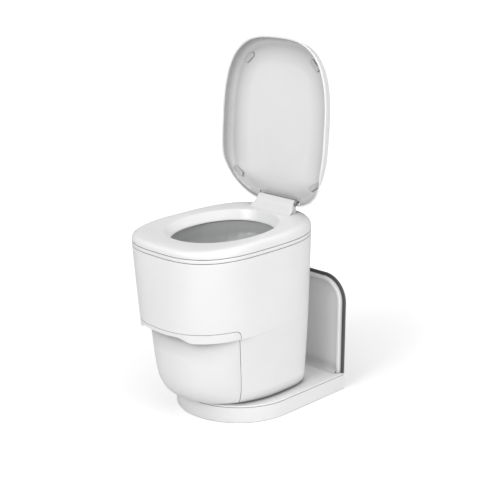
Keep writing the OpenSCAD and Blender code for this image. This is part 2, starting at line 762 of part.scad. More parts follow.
module liner_film() color(grey) difference() {
  union() {
    funnel_loft(slip, deck_z, funnel_top);
    translate([0, 0, funnel_top - 0.5]) linear_extrude(height = cassette_h + slip)
      polygon(outline(shrink(funnel_sec, slip)));
    translate([0, 0, deck_z - 8]) linear_extrude(height = 9)
      polygon(outline(shrink(throat_sec, slip)));
  }
  funnel_loft(slip + film_t, deck_z - 0.01, funnel_top + 0.01);
  translate([0, 0, funnel_top]) linear_extrude(height = 2 * cassette_h)
    polygon(outline(shrink(funnel_sec, slip + film_t)));
  translate([0, 0, deck_z - 9]) linear_extrude(height = 11)
    polygon(outline(shrink(throat_sec, slip + film_t)));
}

function saddle(a) = seat_rise * (1 - cos(a)) / 2;
// Stations across the seat: [share of the way to the crest, height, share of the saddle]
outer_stations = [
  [0.01, 0, 0], [0, 6, 0], [0.02, 0.6 * seat_t, 0.4], [0.06, 0.79 * seat_t, 0.8], [0.18, 0.93 * seat_t, 1.4],
  [0.46, 1.02 * seat_t, 1.2], [1, seat_t, 1]
];

function seat_ring(from, to, st) = [for (i = [0:steps - 1]) let(a = 360 * i / steps,
    p = mix(sec_pt(from, a), sec_pt(to, a), st[0]))
  [p[0], p[1], seat_z + st[1] + st[2] * saddle(a)]];

module seat() color(white) difference() {
  union() {
    torus_loft(concat(
      [for (st = outer_stations) seat_ring(rim_sec, crest_sec, st)],
      [for (h = [open_rise, 0]) seat_ring(crest_sec, open_sec, [1, h, 0])]));
    hinge_bracket();
    for (s = [-1, 1]) seat_knuckle(s);
  }
  translate([0, axis_y, axis_z]) bar_x(knuckle_r + fit, -2 * bracket_w, 2 * bracket_w);
  curl_mouth();
  for (s = [-1, 1]) translate([0, hinge_y, hinge_z]) bar_x(pin_r + fit, s * hinge_x - 30, s * hinge_x + 30);
  for (s = [-1, 1]) translate([s > 0 ? hinge_x - hinge_l - slip : -hinge_x - slip, hinge_y, hinge_z])
    bar_x(hinge_r + slip, 0, hinge_l + 1.5 * slip);
}

// Flared strap that rises from the seat and curls round the lid's knuckle
module hinge_bracket() {
  foot = seat_z + seat_t + seat_rise;
  intersection() {
    union() {
      translate([-bracket_w, 0, 0]) rotate([90, 0, 90]) linear_extrude(height = 2 * bracket_w)
        polygon([[axis_y - 28, foot - 6], [axis_y - 19, foot + 8], [axis_y - curl_r + 0.4, axis_z + 2.5],
          [axis_y, axis_z], [axis_y + 2, axis_z - curl_r + 0.3], [axis_y - 8, foot - 6]]);
      translate([0, axis_y, axis_z]) bar_x(curl_r, -barrel_l, barrel_l);
    }
    translate([0, 400, 0]) rotate([90, 0, 0]) linear_extrude(height = 800)
      polygon([[-bracket_w, foot - 7], [bracket_w, foot - 7], [bracket_w, foot + 1],
        [barrel_l, axis_z - 8], [barrel_l, axis_z + 40], [-barrel_l, axis_z + 40],
        [-barrel_l, axis_z - 8], [-bracket_w, foot + 1]]);
  }
}

// Open side of the curl, wide enough for the web's swing
module curl_mouth() {
  far = 30;
  translate([-bracket_w - over, axis_y, axis_z]) rotate([90, 0, 90])
    linear_extrude(height = 2 * bracket_w + 2 * over)
      polygon(concat([[0, 0]], [for (a = [-22:22:110]) [far * cos(a), far * sin(a)]]));
}

// Lid stations are built along the lid: X, height s above the axis, depth r behind it
function lid_rim_r(s) = -rim_offset + relief_slope * max(0, relief_l - s);
function lid_back_r(s) = mix(-back_offset, curl_r + 0.6 + lid_wall, smooth((66 - s) / 60));
function lid_pt(a, d) =
  let(b = (cos(a) > 0 ? lid_reach - lid_mid : lid_mid + lid_tail) - d)
  [(lid_w - d) * spow(sin(a), 2 / 2.95), lid_mid + b * spow(cos(a), 2 / 2.95)];
// kind 0 lies at the rim, kind 1 at the back, each shifted by h
function lid_ring(d, kind, h) = [for (i = [0:steps - 1])
  let(p = lid_pt(360 * i / steps, d), q = lid_pt(360 * i / steps, 0))
  [p[0], (kind == 0 ? lid_rim_r(q[1]) : lid_back_r(p[1])) + h, p[1]]];
function lid_fill(k, h) = [for (i = [0:steps - 1])
  let(q = lid_pt(360 * i / steps, 18), p = [q[0] * k, mix(lid_mid, q[1], k)])
  [p[0], lid_back_r(p[1]) + h, p[1]]];

module on_lid() {
  translate([0, axis_y, axis_z]) rotate([-lid_lean, 0, 0]) children();
}

module lid_body() {
  loft([
    lid_fill(0.02, -lid_wall), lid_fill(0.4, -lid_wall), lid_fill(0.75, -lid_wall),
    lid_ring(19, 1, -lid_wall), lid_ring(14, 1, -lid_wall - 4), lid_ring(4.5, 0, 0.6),
    lid_ring(2.2, 0, -0.2), lid_ring(0, 0, 2), lid_ring(5, 1, -12), lid_ring(9, 1, -4), lid_ring(15, 1, -0.4),
    lid_fill(0.75, 0), lid_fill(0.4, 0), lid_fill(0.02, 0)
  ]);
}

module lid() color(white) on_lid() {
  difference() {
    lid_body();
    translate([-bracket_w - 1, -40, -40]) cube([2 * bracket_w + 2, 40 + curl_r + 0.5, 52]);
  }
  web_w = barrel_l - 2;
  web_t = 3.2;
  difference() {
    translate([-web_w, knuckle_r - 1.5, -web_t / 2]) cube([2 * web_w, curl_r - knuckle_r + 3, web_t]);
    bar_x(knuckle_r, -barrel_l, barrel_l);
  }
}

module lid_knuckle() color(grey) on_lid() difference() {
  bar_x(knuckle_r, -barrel_l - 5, barrel_l + 5);
  bar_x(pin_r, -barrel_l - 6, barrel_l + 6);
}

module lid_hinge_pin() color(steel) on_lid() bar_x(pin_r, -barrel_l - 6, barrel_l + 6);

// Low pads in the four corners: [X, height along the lid, turn]
buffer_spots = [[lid_w - 69, lid_reach - 65, 42], [lid_w - 46, relief_l - 38, -32]];

module lid_buffers() color(grey) on_lid() difference() {
  for (b = buffer_spots, s = [-1, 1])
    translate([s * b[0], 0, b[1]]) rotate([0, s * b[2], 0]) rotate([90, 0, 0])
      translate([0, 0, back_offset + lid_wall / 2])
        linear_extrude(height = lid_wall / 2 + buffer_h) {
          translate([buffer_r - buffer_l / 2, -buffer_r]) square([buffer_l - 2 * buffer_r, 2 * buffer_r]);
          for (e = [-1, 1]) translate([e * (buffer_l / 2 - buffer_r), 0]) circle(r = buffer_r, $fn = 32);
        }
  lid_body();
}

module grip_arch() {
  side = [for (k = [0:8]) [grip_w - grip_run * k / 8, mix(step_z - over, step_z + grip_rise, smooth(k / 8))]];
  translate([0, belly_front - 1, 0]) rotate([90, 0, 0]) linear_extrude(height = 80)
    polygon(concat(side, [for (k = [8:-1:0]) [-side[k][0], side[k][1]]]));
}

module grip_pocket() {
  translate([0, 0, step_z - over]) linear_extrude(height = grip_depth + over) difference() {
    intersection() {
      polygon(outline(shrink(lip_sec, lip_t)));
      translate([-grip_w + 4, -400]) square([2 * grip_w - 8, 300]);
    }
    polygon(outline(shrink(belly_sec, -0.5)));
  }
}

module drawer_front() color(white) difference() {
  intersection() {
    body_loft(0, shell_z0, shell_z1);
    front_block(seam_gap);
  }
  loft(concat(
    [for (z = [shell_z0 + 4, 66, 74, 84, 98, 116, 140, 175, 215, step_z])
      ring(shrink(lower_sec(z), shell_wall), z)],
    [ring(shrink(belly_sec, shell_wall), seam_z + over)]));
  grip_pocket();
  grip_arch();
}

// Cradle: floor plate, side runners and the posts that hold the front
cradle_x = 89;
cradle_front = foot_front + 24;
module drawer_cradle() color(steel) {
  difference() {
    translate([-cradle_x, cradle_front, cradle_z]) cube([2 * cradle_x, bin_l - 24, 3]);
    for (y = [50, 163]) translate([-60, cradle_front + y, cradle_z - over]) cube([120, 88, 5]);
  }
  for (s = [-1, 1]) translate([s > 0 ? cradle_x : -cradle_x - 6, rail_front, rail_z0 + 4.7])
    cube([6, rail_l, rail_h - 9.4]);
  for (s = [-1, 1]) translate([s * 66 - 6, cradle_front, shell_z0 + shell_wall])
    cube([12, 20, cradle_z - shell_z0 - shell_wall]);
}

module waste_bin() color(dark) {
  z0 = cradle_z + 3;
  difference() {
    bin_form(0, z0, z0 + bin_h);
    bin_form(bin_wall, z0 + bin_wall, z0 + bin_h + 0.02);
  }
}

module bin_form(d, z0, z1) {
  y_top = 98 - bin_l / 2;
  hull() {
    translate([0, y_top, z1 - 0.01]) bin_slab(bin_w - d, bin_l / 2 - d, 22);
    translate([0, -20, z0]) bin_slab(bin_w - 14 - d, bin_l / 2 - 36 - d, 22);
  }
}

module bin_slab(w, l, r) {
  linear_extrude(height = 0.01) {
    translate([-w + r, -l]) square([2 * (w - r), 2 * l]);
    translate([-w, -l + r]) square([2 * w, 2 * (l - r)]);
    for (x = [-1, 1], y = [-1, 1]) translate([x * (w - r), y * (l - r)]) circle(r = r, $fn = 32);
  }
}

// Channel of a slide, open towards the drawer
module channel(s, x_in, x_web, x_out, z0, z1, t) {
  translate([s > 0 ? x_web : -x_out, rail_front, z0]) cube([x_out - x_web, rail_l, z1 - z0]);
  for (z = [z0, z1 - t]) translate([s > 0 ? x_in : -x_web, rail_front, z])
    cube([x_web - x_in, rail_l, t]);
}

module drawer_slide_middles() color(steel) for (s = [-1, 1])
  channel(s, cradle_x + 2, cradle_x + 6.4, cradle_x + 8.2, rail_z0 + 2.4, rail_z0 + rail_h - 2.4, 2);

module drawer_rails() color(steel) for (s = [-1, 1]) {
  channel(s, cradle_x + 3, cradle_x + 8.6, cradle_x + 10.6, rail_z0, rail_z0 + rail_h, 2);
  for (y = [-100, 80]) translate([s > 0 ? cradle_x + 3 : -cradle_x - 10.6, y, shell_z0 + pan_t])
    cube([7.6, 20, rail_z0 - shell_z0 - pan_t]);
}

base_plate();
back_panel();
wall_spacer();
panel_screws();
power_inlet();
bearing_lower();
pivot_tube();
pivot_nut();
housing_shell();
rim_frame();
chassis_pan();
bearing_upper();
pivot_bush();
chassis_columns();
mechanism_deck();
sealing_frame();
bowl_funnel();
funnel_posts();
liner_cassette();
liner_film();
fixed_jaw();
jaw_guide_rods();
seal_motor();
motor_bracket();
feed_motor();
control_box();
drawer_rails();
seat_hinge_pins();
seat();
lid();
lid_knuckle();
lid_hinge_pin();
lid_buffers();
drawer_front();
drawer_cradle();
waste_bin();
drawer_slide_middles();
moving_jaw();
jaw_racks();
jaw_shaft();
jaw_pinions();
reduction_gear();
motor_pinion();
front_feed_roller();
front_roller_shaft();
rear_feed_roller();
rear_roller_shaft();
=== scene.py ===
import math

import bmesh
import bpy
from mathutils import Matrix, Vector


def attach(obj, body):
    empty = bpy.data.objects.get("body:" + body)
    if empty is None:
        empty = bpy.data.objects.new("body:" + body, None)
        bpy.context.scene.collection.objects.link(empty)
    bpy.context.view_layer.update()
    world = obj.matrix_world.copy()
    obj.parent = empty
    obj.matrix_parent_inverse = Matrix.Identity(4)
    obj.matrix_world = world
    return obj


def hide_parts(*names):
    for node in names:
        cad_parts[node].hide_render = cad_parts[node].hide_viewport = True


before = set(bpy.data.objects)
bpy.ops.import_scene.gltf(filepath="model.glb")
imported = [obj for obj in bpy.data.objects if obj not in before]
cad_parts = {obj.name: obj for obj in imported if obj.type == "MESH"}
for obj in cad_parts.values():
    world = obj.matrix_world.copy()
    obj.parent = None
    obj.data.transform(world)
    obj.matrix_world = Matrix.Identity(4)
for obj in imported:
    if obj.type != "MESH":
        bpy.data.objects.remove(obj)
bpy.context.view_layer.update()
print("frame loaded")

mm = 0.001  # shapes and grains below are in millimetres, the camera, floor and lamps in metres


# the photo's camera: where it stands, the way it looks from, its lens and its sensor
view = {"azimuth": 44.95, "place": (2.04468, -2.04371, 1.28667), "back": (0.678277, -0.679421, 0.279869),
        "lens": 86.48, "sensor": 36.0, "near": 0.05, "far": 60}


def makeCamera():
    data = bpy.data.cameras.new("camera")
    data.sensor_width = view["sensor"]
    data.lens = view["lens"]
    data.clip_start, data.clip_end = view["near"], view["far"]
    cam = bpy.data.objects.new("camera", data)
    bpy.context.scene.collection.objects.link(cam)
    a = math.radians(view["azimuth"])
    right = Vector((math.cos(a), math.sin(a), 0))
    back = Vector(view["back"]).normalized()
    up = back.cross(right)
    turn = Matrix((right, up, back)).transposed().to_4x4()
    cam.matrix_world = Matrix.Translation(view["place"]) @ turn
    bpy.context.scene.camera = cam


def linearRgb(code):
    # sRGB hex to the linear colour that shaders work in
    parts = [int(code[i:i + 2], 16) / 255 for i in (1, 3, 5)]
    return [c / 12.92 if c <= 0.04045 else ((c + 0.055) / 1.055) ** 2.4 for c in parts] + [1.0]


def addNode(tree, kind, settings=None, values=None, links=None):
    # settings are the node's own, values are for its sockets, links come from other nodes' outputs
    node = tree.nodes.new(kind)
    for key, value in (settings or {}).items():
        setattr(node, key, value)
    for key, value in (values or {}).items():
        node.inputs[key].default_value = value
    for key, source in (links or {}).items():
        tree.links.new(source, node.inputs[key])
    return node


def makeTree(name):
    mat = bpy.data.materials.new(name)
    mat.use_nodes = True
    mat.node_tree.nodes.clear()
    return mat, mat.node_tree


# what every moulded plastic here shares: patches per metre, spread of its tints, grain, gloss, rays for the
# painted corner shade
mould = {"driftPerMetre": 7.0, "sheenPerMetre": 24.0, "spread": (0.3, 0.7), "bump": 0.25, "ior": 1.5,
         "coatRough": 0.06, "rays": 12}


def moulded(name, dark, light, rough, span, grain, grainDepth, coat=0.0, reach=20, ownOnly=False, depth=1.0):
    # a moulded plastic: a hair of colour drift, an uneven sheen and the tool's fine grain, sized in mm, with
    # painted shade in its gaps and corners
    mat, tree = makeTree(name)
    coords = addNode(tree, "ShaderNodeTexCoord").outputs["Object"]
    drift = addNode(tree, "ShaderNodeTexNoise", values={"Scale": mould["driftPerMetre"], "Detail": 3.0},
                    links={"Vector": coords})
    tint = addNode(tree, "ShaderNodeValToRGB", links={"Fac": drift.outputs["Fac"]})
    for stop, code, place in zip(tint.color_ramp.elements, (dark, light), mould["spread"]):
        stop.color = linearRgb(code)
        stop.position = place
    flow = addNode(tree, "ShaderNodeTexNoise",
                   values={"Scale": mould["sheenPerMetre"], "Detail": 4.0, "Roughness": 0.6},
                   links={"Vector": coords})
    sheen = addNode(tree, "ShaderNodeMapRange", values={"To Min": rough - span, "To Max": rough + span},
                    links={"Value": flow.outputs["Fac"]})
    fine = addNode(tree, "ShaderNodeTexNoise", values={"Scale": 1 / (grain * mm), "Detail": 2.0},
                   links={"Vector": coords})
    bump = addNode(tree, "ShaderNodeBump", values={"Strength": mould["bump"], "Distance": grainDepth * mm},
                   links={"Height": fine.outputs["Fac"]})
    # painted shade: the colour is darkened in gaps and inside corners, where less light reaches; reach in mm
    # is how far it looks and depth how strongly it darkens
    corners = addNode(tree, "ShaderNodeAmbientOcclusion", {"samples": mould["rays"], "only_local": ownOnly},
                      {"Distance": reach * mm})
    paintedShade = addNode(tree, "ShaderNodeMath", {"operation": "POWER"}, {1: depth}, {0: corners.outputs["AO"]})
    colour = addNode(tree, "ShaderNodeVectorMath", {"operation": "SCALE"},
                     links={0: tint.outputs["Color"], "Scale": paintedShade.outputs["Value"]})
    skin = addNode(tree, "ShaderNodeBsdfPrincipled",
                   values={"IOR": mould["ior"], "Coat Weight": coat, "Coat Roughness": mould["coatRough"]},
                   links={"Base Color": colour.outputs["Vector"], "Roughness": sheen.outputs["Result"],
                          "Normal": bump.outputs["Normal"]})
    addNode(tree, "ShaderNodeOutputMaterial", links={"Surface": skin.outputs["BSDF"]})
    return mat


brush = {"bump": 0.15, "depth": 0.05}


def metal(name, colour, rough, span, across, along, axis):
    # drawn or milled metal: fine lines along one axis, sized in mm, break up the reflection
    mat, tree = makeTree(name)
    coords = addNode(tree, "ShaderNodeTexCoord").outputs["Object"]
    scale = [1 / (across * mm)] * 3
    scale[axis] = 1 / (along * mm)
    stretch = addNode(tree, "ShaderNodeMapping", values={"Scale": scale}, links={"Vector": coords})
    lines = addNode(tree, "ShaderNodeTexNoise", values={"Scale": 1.0, "Detail": 3.0},
                    links={"Vector": stretch.outputs["Vector"]})
    sheen = addNode(tree, "ShaderNodeMapRange", values={"To Min": rough - span, "To Max": rough + span},
                    links={"Value": lines.outputs["Fac"]})
    bump = addNode(tree, "ShaderNodeBump",
                   values={"Strength": brush["bump"], "Distance": brush["depth"] * mm},
                   links={"Height": lines.outputs["Fac"]})
    skin = addNode(tree, "ShaderNodeBsdfPrincipled",
                   values={"Base Color": linearRgb(colour), "Metallic": 1.0},
                   links={"Roughness": sheen.outputs["Result"], "Normal": bump.outputs["Normal"]})
    addNode(tree, "ShaderNodeOutputMaterial", links={"Surface": skin.outputs["BSDF"]})
    return mat


# ABS, injection moulded in a polished tool: bright clean gloss with soft broad highlights
whiteAbs = {"dark": "#EAEAEA", "light": "#EDEDED", "rough": 0.34, "span": 0.03, "coat": 0.1, "grain": 1.2,
            "grainDepth": 0.02}
absGloss = moulded("absMouldedGloss", **whiteAbs, reach=35)
# the same ABS on the lid and the drawer front, with stronger painted shade darkening their deep corners
absDeep = moulded("absMouldedDeep", **whiteAbs, reach=70, ownOnly=True, depth=1.8)
# the base's ABS: the same white with a touch less gloss and hardly any painted shade in its corners
baseAbs = {**whiteAbs, "rough": 0.36, "coat": 0.08}
absBase = moulded("absMouldedBase", **baseAbs, reach=3)
# glass-filled polypropylene, textured tool: dark grey and dull, on the spacer and the inner housings
ppDark = moulded("polypropyleneDark", "#525355", "#5C5D5F", rough=0.55, span=0.06, grain=0.9, grainDepth=0.06)
# acetal, moulded: mid grey bearing plastic with a waxy sheen
acetalGrey = moulded("acetalGrey", "#8E8F91", "#98999B", rough=0.42, span=0.05, grain=1.0, grainDepth=0.03)
# the same acetal, paler, for the lid's knuckle
acetalPale = moulded("acetalPale", "#AEAFB0", "#B6B7B8", rough=0.42, span=0.05, grain=1.0, grainDepth=0.03)
# thermoplastic elastomer, moulded: pale grey, soft matt buffers
elastomerPale = moulded("elastomerPale", "#BEBEBE", "#C6C6C6", rough=0.6, span=0.05, grain=0.8,
                        grainDepth=0.04)
# nitrile rubber, ground, on the feed rollers: nearly black, dull
nitrileDark = moulded("nitrileRubber", "#2C2D2E", "#353637", rough=0.7, span=0.05, grain=0.8, grainDepth=0.06)
# co-extruded polyethylene film: grey, slippery satin with fine creases
filmGrey = moulded("polyethyleneFilm", "#B0B1B1", "#B8B9B9", rough=0.38, span=0.06, grain=6, grainDepth=0.6,
                   coat=0.1, reach=40)
# zinc plated steel, drawn: bright, with faint lines along it
zincSteel = metal("zincPlatedSteel", "#B9BBBD", rough=0.3, span=0.06, across=0.8, along=20, axis=1)
# aluminium, milled: pale, with faint tool marks across it
millAluminium = metal("milledAluminium", "#C9CACC", rough=0.36, span=0.05, across=1.0, along=15, axis=0)


# the floor, which glows to white away from the object, where the lamps fall off, and the room's fill light
studio = {"half": 30.0, "floor": "#F4F4F4", "bounce": "#DCDCDC", "glowFrom": 0.3, "glowTo": 2.2,
          "glowLow": 0.3, "glowHigh": 0.8, "fill": 0.3}
white = (1, 1, 1, 1)


def makeStage():
    scene = bpy.context.scene
    scene.view_settings.view_transform = "Standard"
    floorMesh = bpy.data.meshes.new("floor")
    half = studio["half"]
    corners = [(-half, -half, 0), (half, -half, 0), (half, half, 0), (-half, half, 0)]
    floorMesh.from_pydata(corners, [], [(0, 1, 2, 3)])
    floor = bpy.data.objects.new("floor", floorMesh)
    scene.collection.objects.link(floor)
    mat, tree = makeTree("studioFloor")
    rays = addNode(tree, "ShaderNodeLightPath")
    matt = addNode(tree, "ShaderNodeBsdfDiffuse", values={"Color": linearRgb(studio["floor"])})
    dim = addNode(tree, "ShaderNodeBsdfDiffuse", values={"Color": linearRgb(studio["bounce"])})
    coords = addNode(tree, "ShaderNodeTexCoord").outputs["Object"]
    away = addNode(tree, "ShaderNodeVectorMath", {"operation": "LENGTH"}, links={0: coords})
    glow = addNode(tree, "ShaderNodeMapRange", {"interpolation_type": "SMOOTHSTEP"},
                   {"From Min": studio["glowFrom"], "From Max": studio["glowTo"], "To Min": studio["glowLow"],
                    "To Max": studio["glowHigh"]}, {"Value": away.outputs["Value"]})
    plain = addNode(tree, "ShaderNodeEmission", values={"Color": white},
                    links={"Strength": glow.outputs["Result"]})
    both = addNode(tree, "ShaderNodeAddShader", links={0: matt.outputs[0], 1: plain.outputs[0]})
    pick = addNode(tree, "ShaderNodeMixShader",
                   links={0: rays.outputs["Is Camera Ray"], 1: dim.outputs[0], 2: both.outputs[0]})
    addNode(tree, "ShaderNodeOutputMaterial", links={"Surface": pick.outputs[0]})
    floor.data.materials.append(mat)

    world = bpy.data.worlds.new("studio")
    world.use_nodes = True
    tree = world.node_tree
    tree.nodes.clear()
    rays = addNode(tree, "ShaderNodeLightPath")
    fill = addNode(tree, "ShaderNodeBackground", values={"Color": white, "Strength": studio["fill"]})
    seen = addNode(tree, "ShaderNodeBackground", values={"Color": white, "Strength": 1.0})
    pick = addNode(tree, "ShaderNodeMixShader",
                   links={0: rays.outputs["Is Camera Ray"], 1: fill.outputs[0], 2: seen.outputs[0]})
    addNode(tree, "ShaderNodeOutputWorld", links={"Surface": pick.outputs[0]})
    scene.world = world


# three square soft lamps: place, size and aim in metres, power in watts
lamps = {
    "top": {"place": (0.3, -0.2, 3.2), "size": 2.4, "power": 36, "aim": (0, 0, 0.3)},
    "front": {"place": (0.3, -2.8, 1.8), "size": 1.5, "power": 49, "aim": (0, 0, 0.4)},
    "right": {"place": (3.0, 0.2, 0.8), "size": 1.6, "power": 41, "aim": (0, 0, 0.35)},
}


def makeLamps():
    for name, lamp in lamps.items():
        data = bpy.data.lights.new(name, "AREA")
        data.size = lamp["size"]
        data.energy = lamp["power"]
        light = bpy.data.objects.new(name, data)
        bpy.context.scene.collection.objects.link(light)
        place = Vector(lamp["place"])
        light.location = place
        light.rotation_mode = "QUATERNION"
        light.rotation_quaternion = (Vector(lamp["aim"]) - place).to_track_quat("-Z", "Y")


makeCamera()
makeStage()
makeLamps()
print("camera, floor and lamps made")


# a section of the body is [half width, y where it is widest, y front, y rear, front power, rear power];
# its rounded foot is heights and insets
body = {
    "rim": [173, -81, -288, 181.6, 2.97, 3.0], "lip": [166.6, -66, -284, 174.6, 2.4, 3.1],
    "belly": [166.6, -66, -254, 174.6, 2.2, 3.1], "foot": [142, 6, -192, 157, 2.05, 3.8],
    "footZ": 55.0, "stepZ": 250.0, "topZ": 461.0, "wall": 4.0, "footWall": 2.5, "bellyPower": 6,
    "footEdge": [(52.6, 6.0), (53.1, 4.0), (54.5, 2.2), (56.7, 0.9), (60.0, 0.1)], "columns": 260,
}
# the seam round the drawer front: its top, its line at the step, its lean, top corner and gap
seam = {"z": 275.0, "y": -149.0, "lean": -0.18, "corner": 18.0, "gap": 1.2}


def power(v, p):
    # keeps the sign of v
    return math.copysign(abs(v) ** p, v)


def mix(a, b, t):
    if isinstance(a, (list, tuple)):
        return [x + (y - x) * t for x, y in zip(a, b)]
    return a + (b - a) * t


def smooth(t):
    t = max(0.0, min(1.0, t))
    return t * t * (3 - 2 * t)


def shrink(s, d):
    # the section drawn in by d
    return [s[0] - d, s[1], s[2] + d, s[3] - d, s[4], s[5]]


def sectionPoint(s, angle):
    # angle 0 is the front, a quarter turn is the +X side
    c, si = math.cos(angle), math.sin(angle)
    e, b = (s[4], s[1] - s[2]) if c > 0 else (s[5], s[3] - s[1])
    return s[0] * power(si, 2 / e), s[1] - b * power(c, 2 / e)


def upperSection(z):
    return mix(body["lip"], body["rim"], (z - body["stepZ"]) / (body["topZ"] - body["stepZ"]))


def lowerSection(z):
    t = (body["stepZ"] - z) / (body["stepZ"] - body["footZ"])
    s = mix(body["belly"], body["foot"], t)
    s[2] = mix(body["belly"][2], body["foot"][2], max(0.0, t) ** body["bellyPower"])
    return s


def evenAngles(section, count):
    # angles that space points evenly round a section
    fine = 7200
    pts = [sectionPoint(section, 2 * math.pi * i / fine) for i in range(fine + 1)]
    run = [0.0]
    for p, q in zip(pts, pts[1:]):
        run.append(run[-1] + math.dist(p, q))
    out, k = [], 0
    for j in range(count):
        want = run[-1] * j / count
        while run[k + 1] < want:
            k += 1
        share = (want - run[k]) / max(1e-9, run[k + 1] - run[k])
        out.append(2 * math.pi * (k + share) / fine)
    return out


def angleAtY(s, y):
    # the angle on the +X side where a section reaches y
    if y < s[1]:
        share = ((s[1] - y) / (s[1] - s[2])) ** (s[4] / 2)
        return math.acos(min(1.0, share))
    share = ((y - s[1]) / (s[3] - s[1])) ** (s[5] / 2)
    return math.pi - math.acos(min(1.0, share))


def angleAtX(s, x):
    # the angle in front where a section reaches x
    return math.copysign(math.asin(min(1.0, (abs(x) / s[0]) ** (s[4] / 2))), x)


def seamY(z, gap):
    # the seam's y at a height, over its rounded top corner
    r = seam["corner"] - gap
    zc = seam["z"] - seam["corner"]
    yc = seam["y"] + seam["lean"] * (zc - body["stepZ"]) - seam["corner"]
    if z > zc:
        return yc + math.sqrt(max(0.0, r * r - (z - zc) ** 2))
    return seam["y"] + seam["lean"] * (z - body["stepZ"]) - gap


def link(name, mesh):
    obj = bpy.data.objects.new(name, mesh)
    bpy.context.scene.collection.objects.link(obj)
    return obj


def meshFrom(name, points, faces, merge=0.02):
    # points in mm; doubles are merged and faces turned outwards
    mesh = bpy.data.meshes.new(name)
    bm = bmesh.new()
    verts = [bm.verts.new([c * mm for c in p]) for p in points]
    for f in faces:
        bm.faces.new([verts[i] for i in f])
    bmesh.ops.remove_doubles(bm, verts=bm.verts, dist=merge * mm)
    bmesh.ops.dissolve_degenerate(bm, edges=bm.edges, dist=merge * mm * 0.5)
    bmesh.ops.recalc_face_normals(bm, faces=bm.faces)
    bm.to_mesh(mesh)
    bm.free()
    return link(name, mesh)


def gridFaces(rows, columns, closeRows=False, closeColumns=False):
    faces = []
    for r in range(rows if closeRows else rows - 1):
        for c in range(columns if closeColumns else columns - 1):
            a, b = r * columns + c, r * columns + (c + 1) % columns
            k = ((r + 1) % rows - r) * columns
            faces.append((a, b, b + k, a + k))
    return faces


def drawnFaces(rows, columns):
    # a closed outline drawn out through its rows, with both ends filled
    last = (rows - 1) * columns
    faces = gridFaces(rows, columns, closeColumns=True)
    return faces + [tuple(range(columns)), tuple(range(last, last + columns))]


def thicken(outer, inner, faces):
    # a wall between two skins that share one layout of faces, closed along the edges that have one face only
    n = len(outer)
    edges = dict.fromkeys(pair for f in faces for pair in zip(f, f[1:] + f[:1]))
    rim = [(a, b) for a, b in edges if (b, a) not in edges]
    inside = [tuple(n + i for i in reversed(f)) for f in faces]
    return outer + inner, list(faces) + inside + [(b, a, n + a, n + b) for a, b in rim]


def applied(obj):
    # the object with its modifiers made into plain mesh
    graph = bpy.context.evaluated_depsgraph_get()
    mesh = bpy.data.meshes.new_from_object(obj.evaluated_get(graph))
    old = obj.data
    obj.modifiers.clear()
    obj.data = mesh
    bpy.data.meshes.remove(old)
    return obj


def softenEdges(obj, width, angle):
    bevel = obj.modifiers.new("edge", "BEVEL")
    bevel.width = width * mm
    bevel.segments = 2
    bevel.limit_method = "ANGLE"
    bevel.angle_limit = math.radians(angle)
    return applied(obj)


def finishPiece(obj, material, bodyName, node, sharp=32):
    # the piece's finish, the body it rides on and the CAD node that it stands for
    obj.data.materials.clear()
    obj.data.materials.append(material)
    obj.data.shade_smooth()
    obj.data.set_sharp_from_angle(angle=math.radians(sharp))
    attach(obj, bodyName)
    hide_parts(node)


def joined(name, objects):
    # several meshes as one piece
    bm = bmesh.new()
    for o in objects:
        bm.from_mesh(o.data)
    mesh = bpy.data.meshes.new(name)
    bm.to_mesh(mesh)
    bm.free()
    for o in objects:
        bpy.data.objects.remove(o)
    return link(name, mesh)


def splineRows(stations, perGap):
    # a smooth run of stations between given ones
    out = []
    for i in range(len(stations) - 1):
        p0, p1 = stations[max(0, i - 1)], stations[i]
        p2, p3 = stations[i + 1], stations[min(len(stations) - 1, i + 2)]
        for k in range(perGap):
            t = k / perGap
            out.append([0.5 * (2 * b + (c - a) * t + (2 * a - 5 * b + 4 * c - d) * t * t
                               + (3 * b - a - 3 * c + d) * t ** 3) for a, b, c, d in zip(p0, p1, p2, p3)])
    out.append(list(stations[-1]))
    return out


# heights of the housing's rows: below the step, above it, and round the body over the seam
housing = {"low": (66, 72, 80, 92, 108, 126, 148, 172, 198, 222, 240, 247.5, 249.4),
           "stepTop": 250.2, "stepRise": 1.1, "stepRows": 5, "cornerTurn": 9,
           "high": (277, 282, 300, 325, 350, 375, 400, 425, 445, 455),
           "rimEdge": [(459.2, 0), (460.4, 0.3), (461.0, 1.1)]}


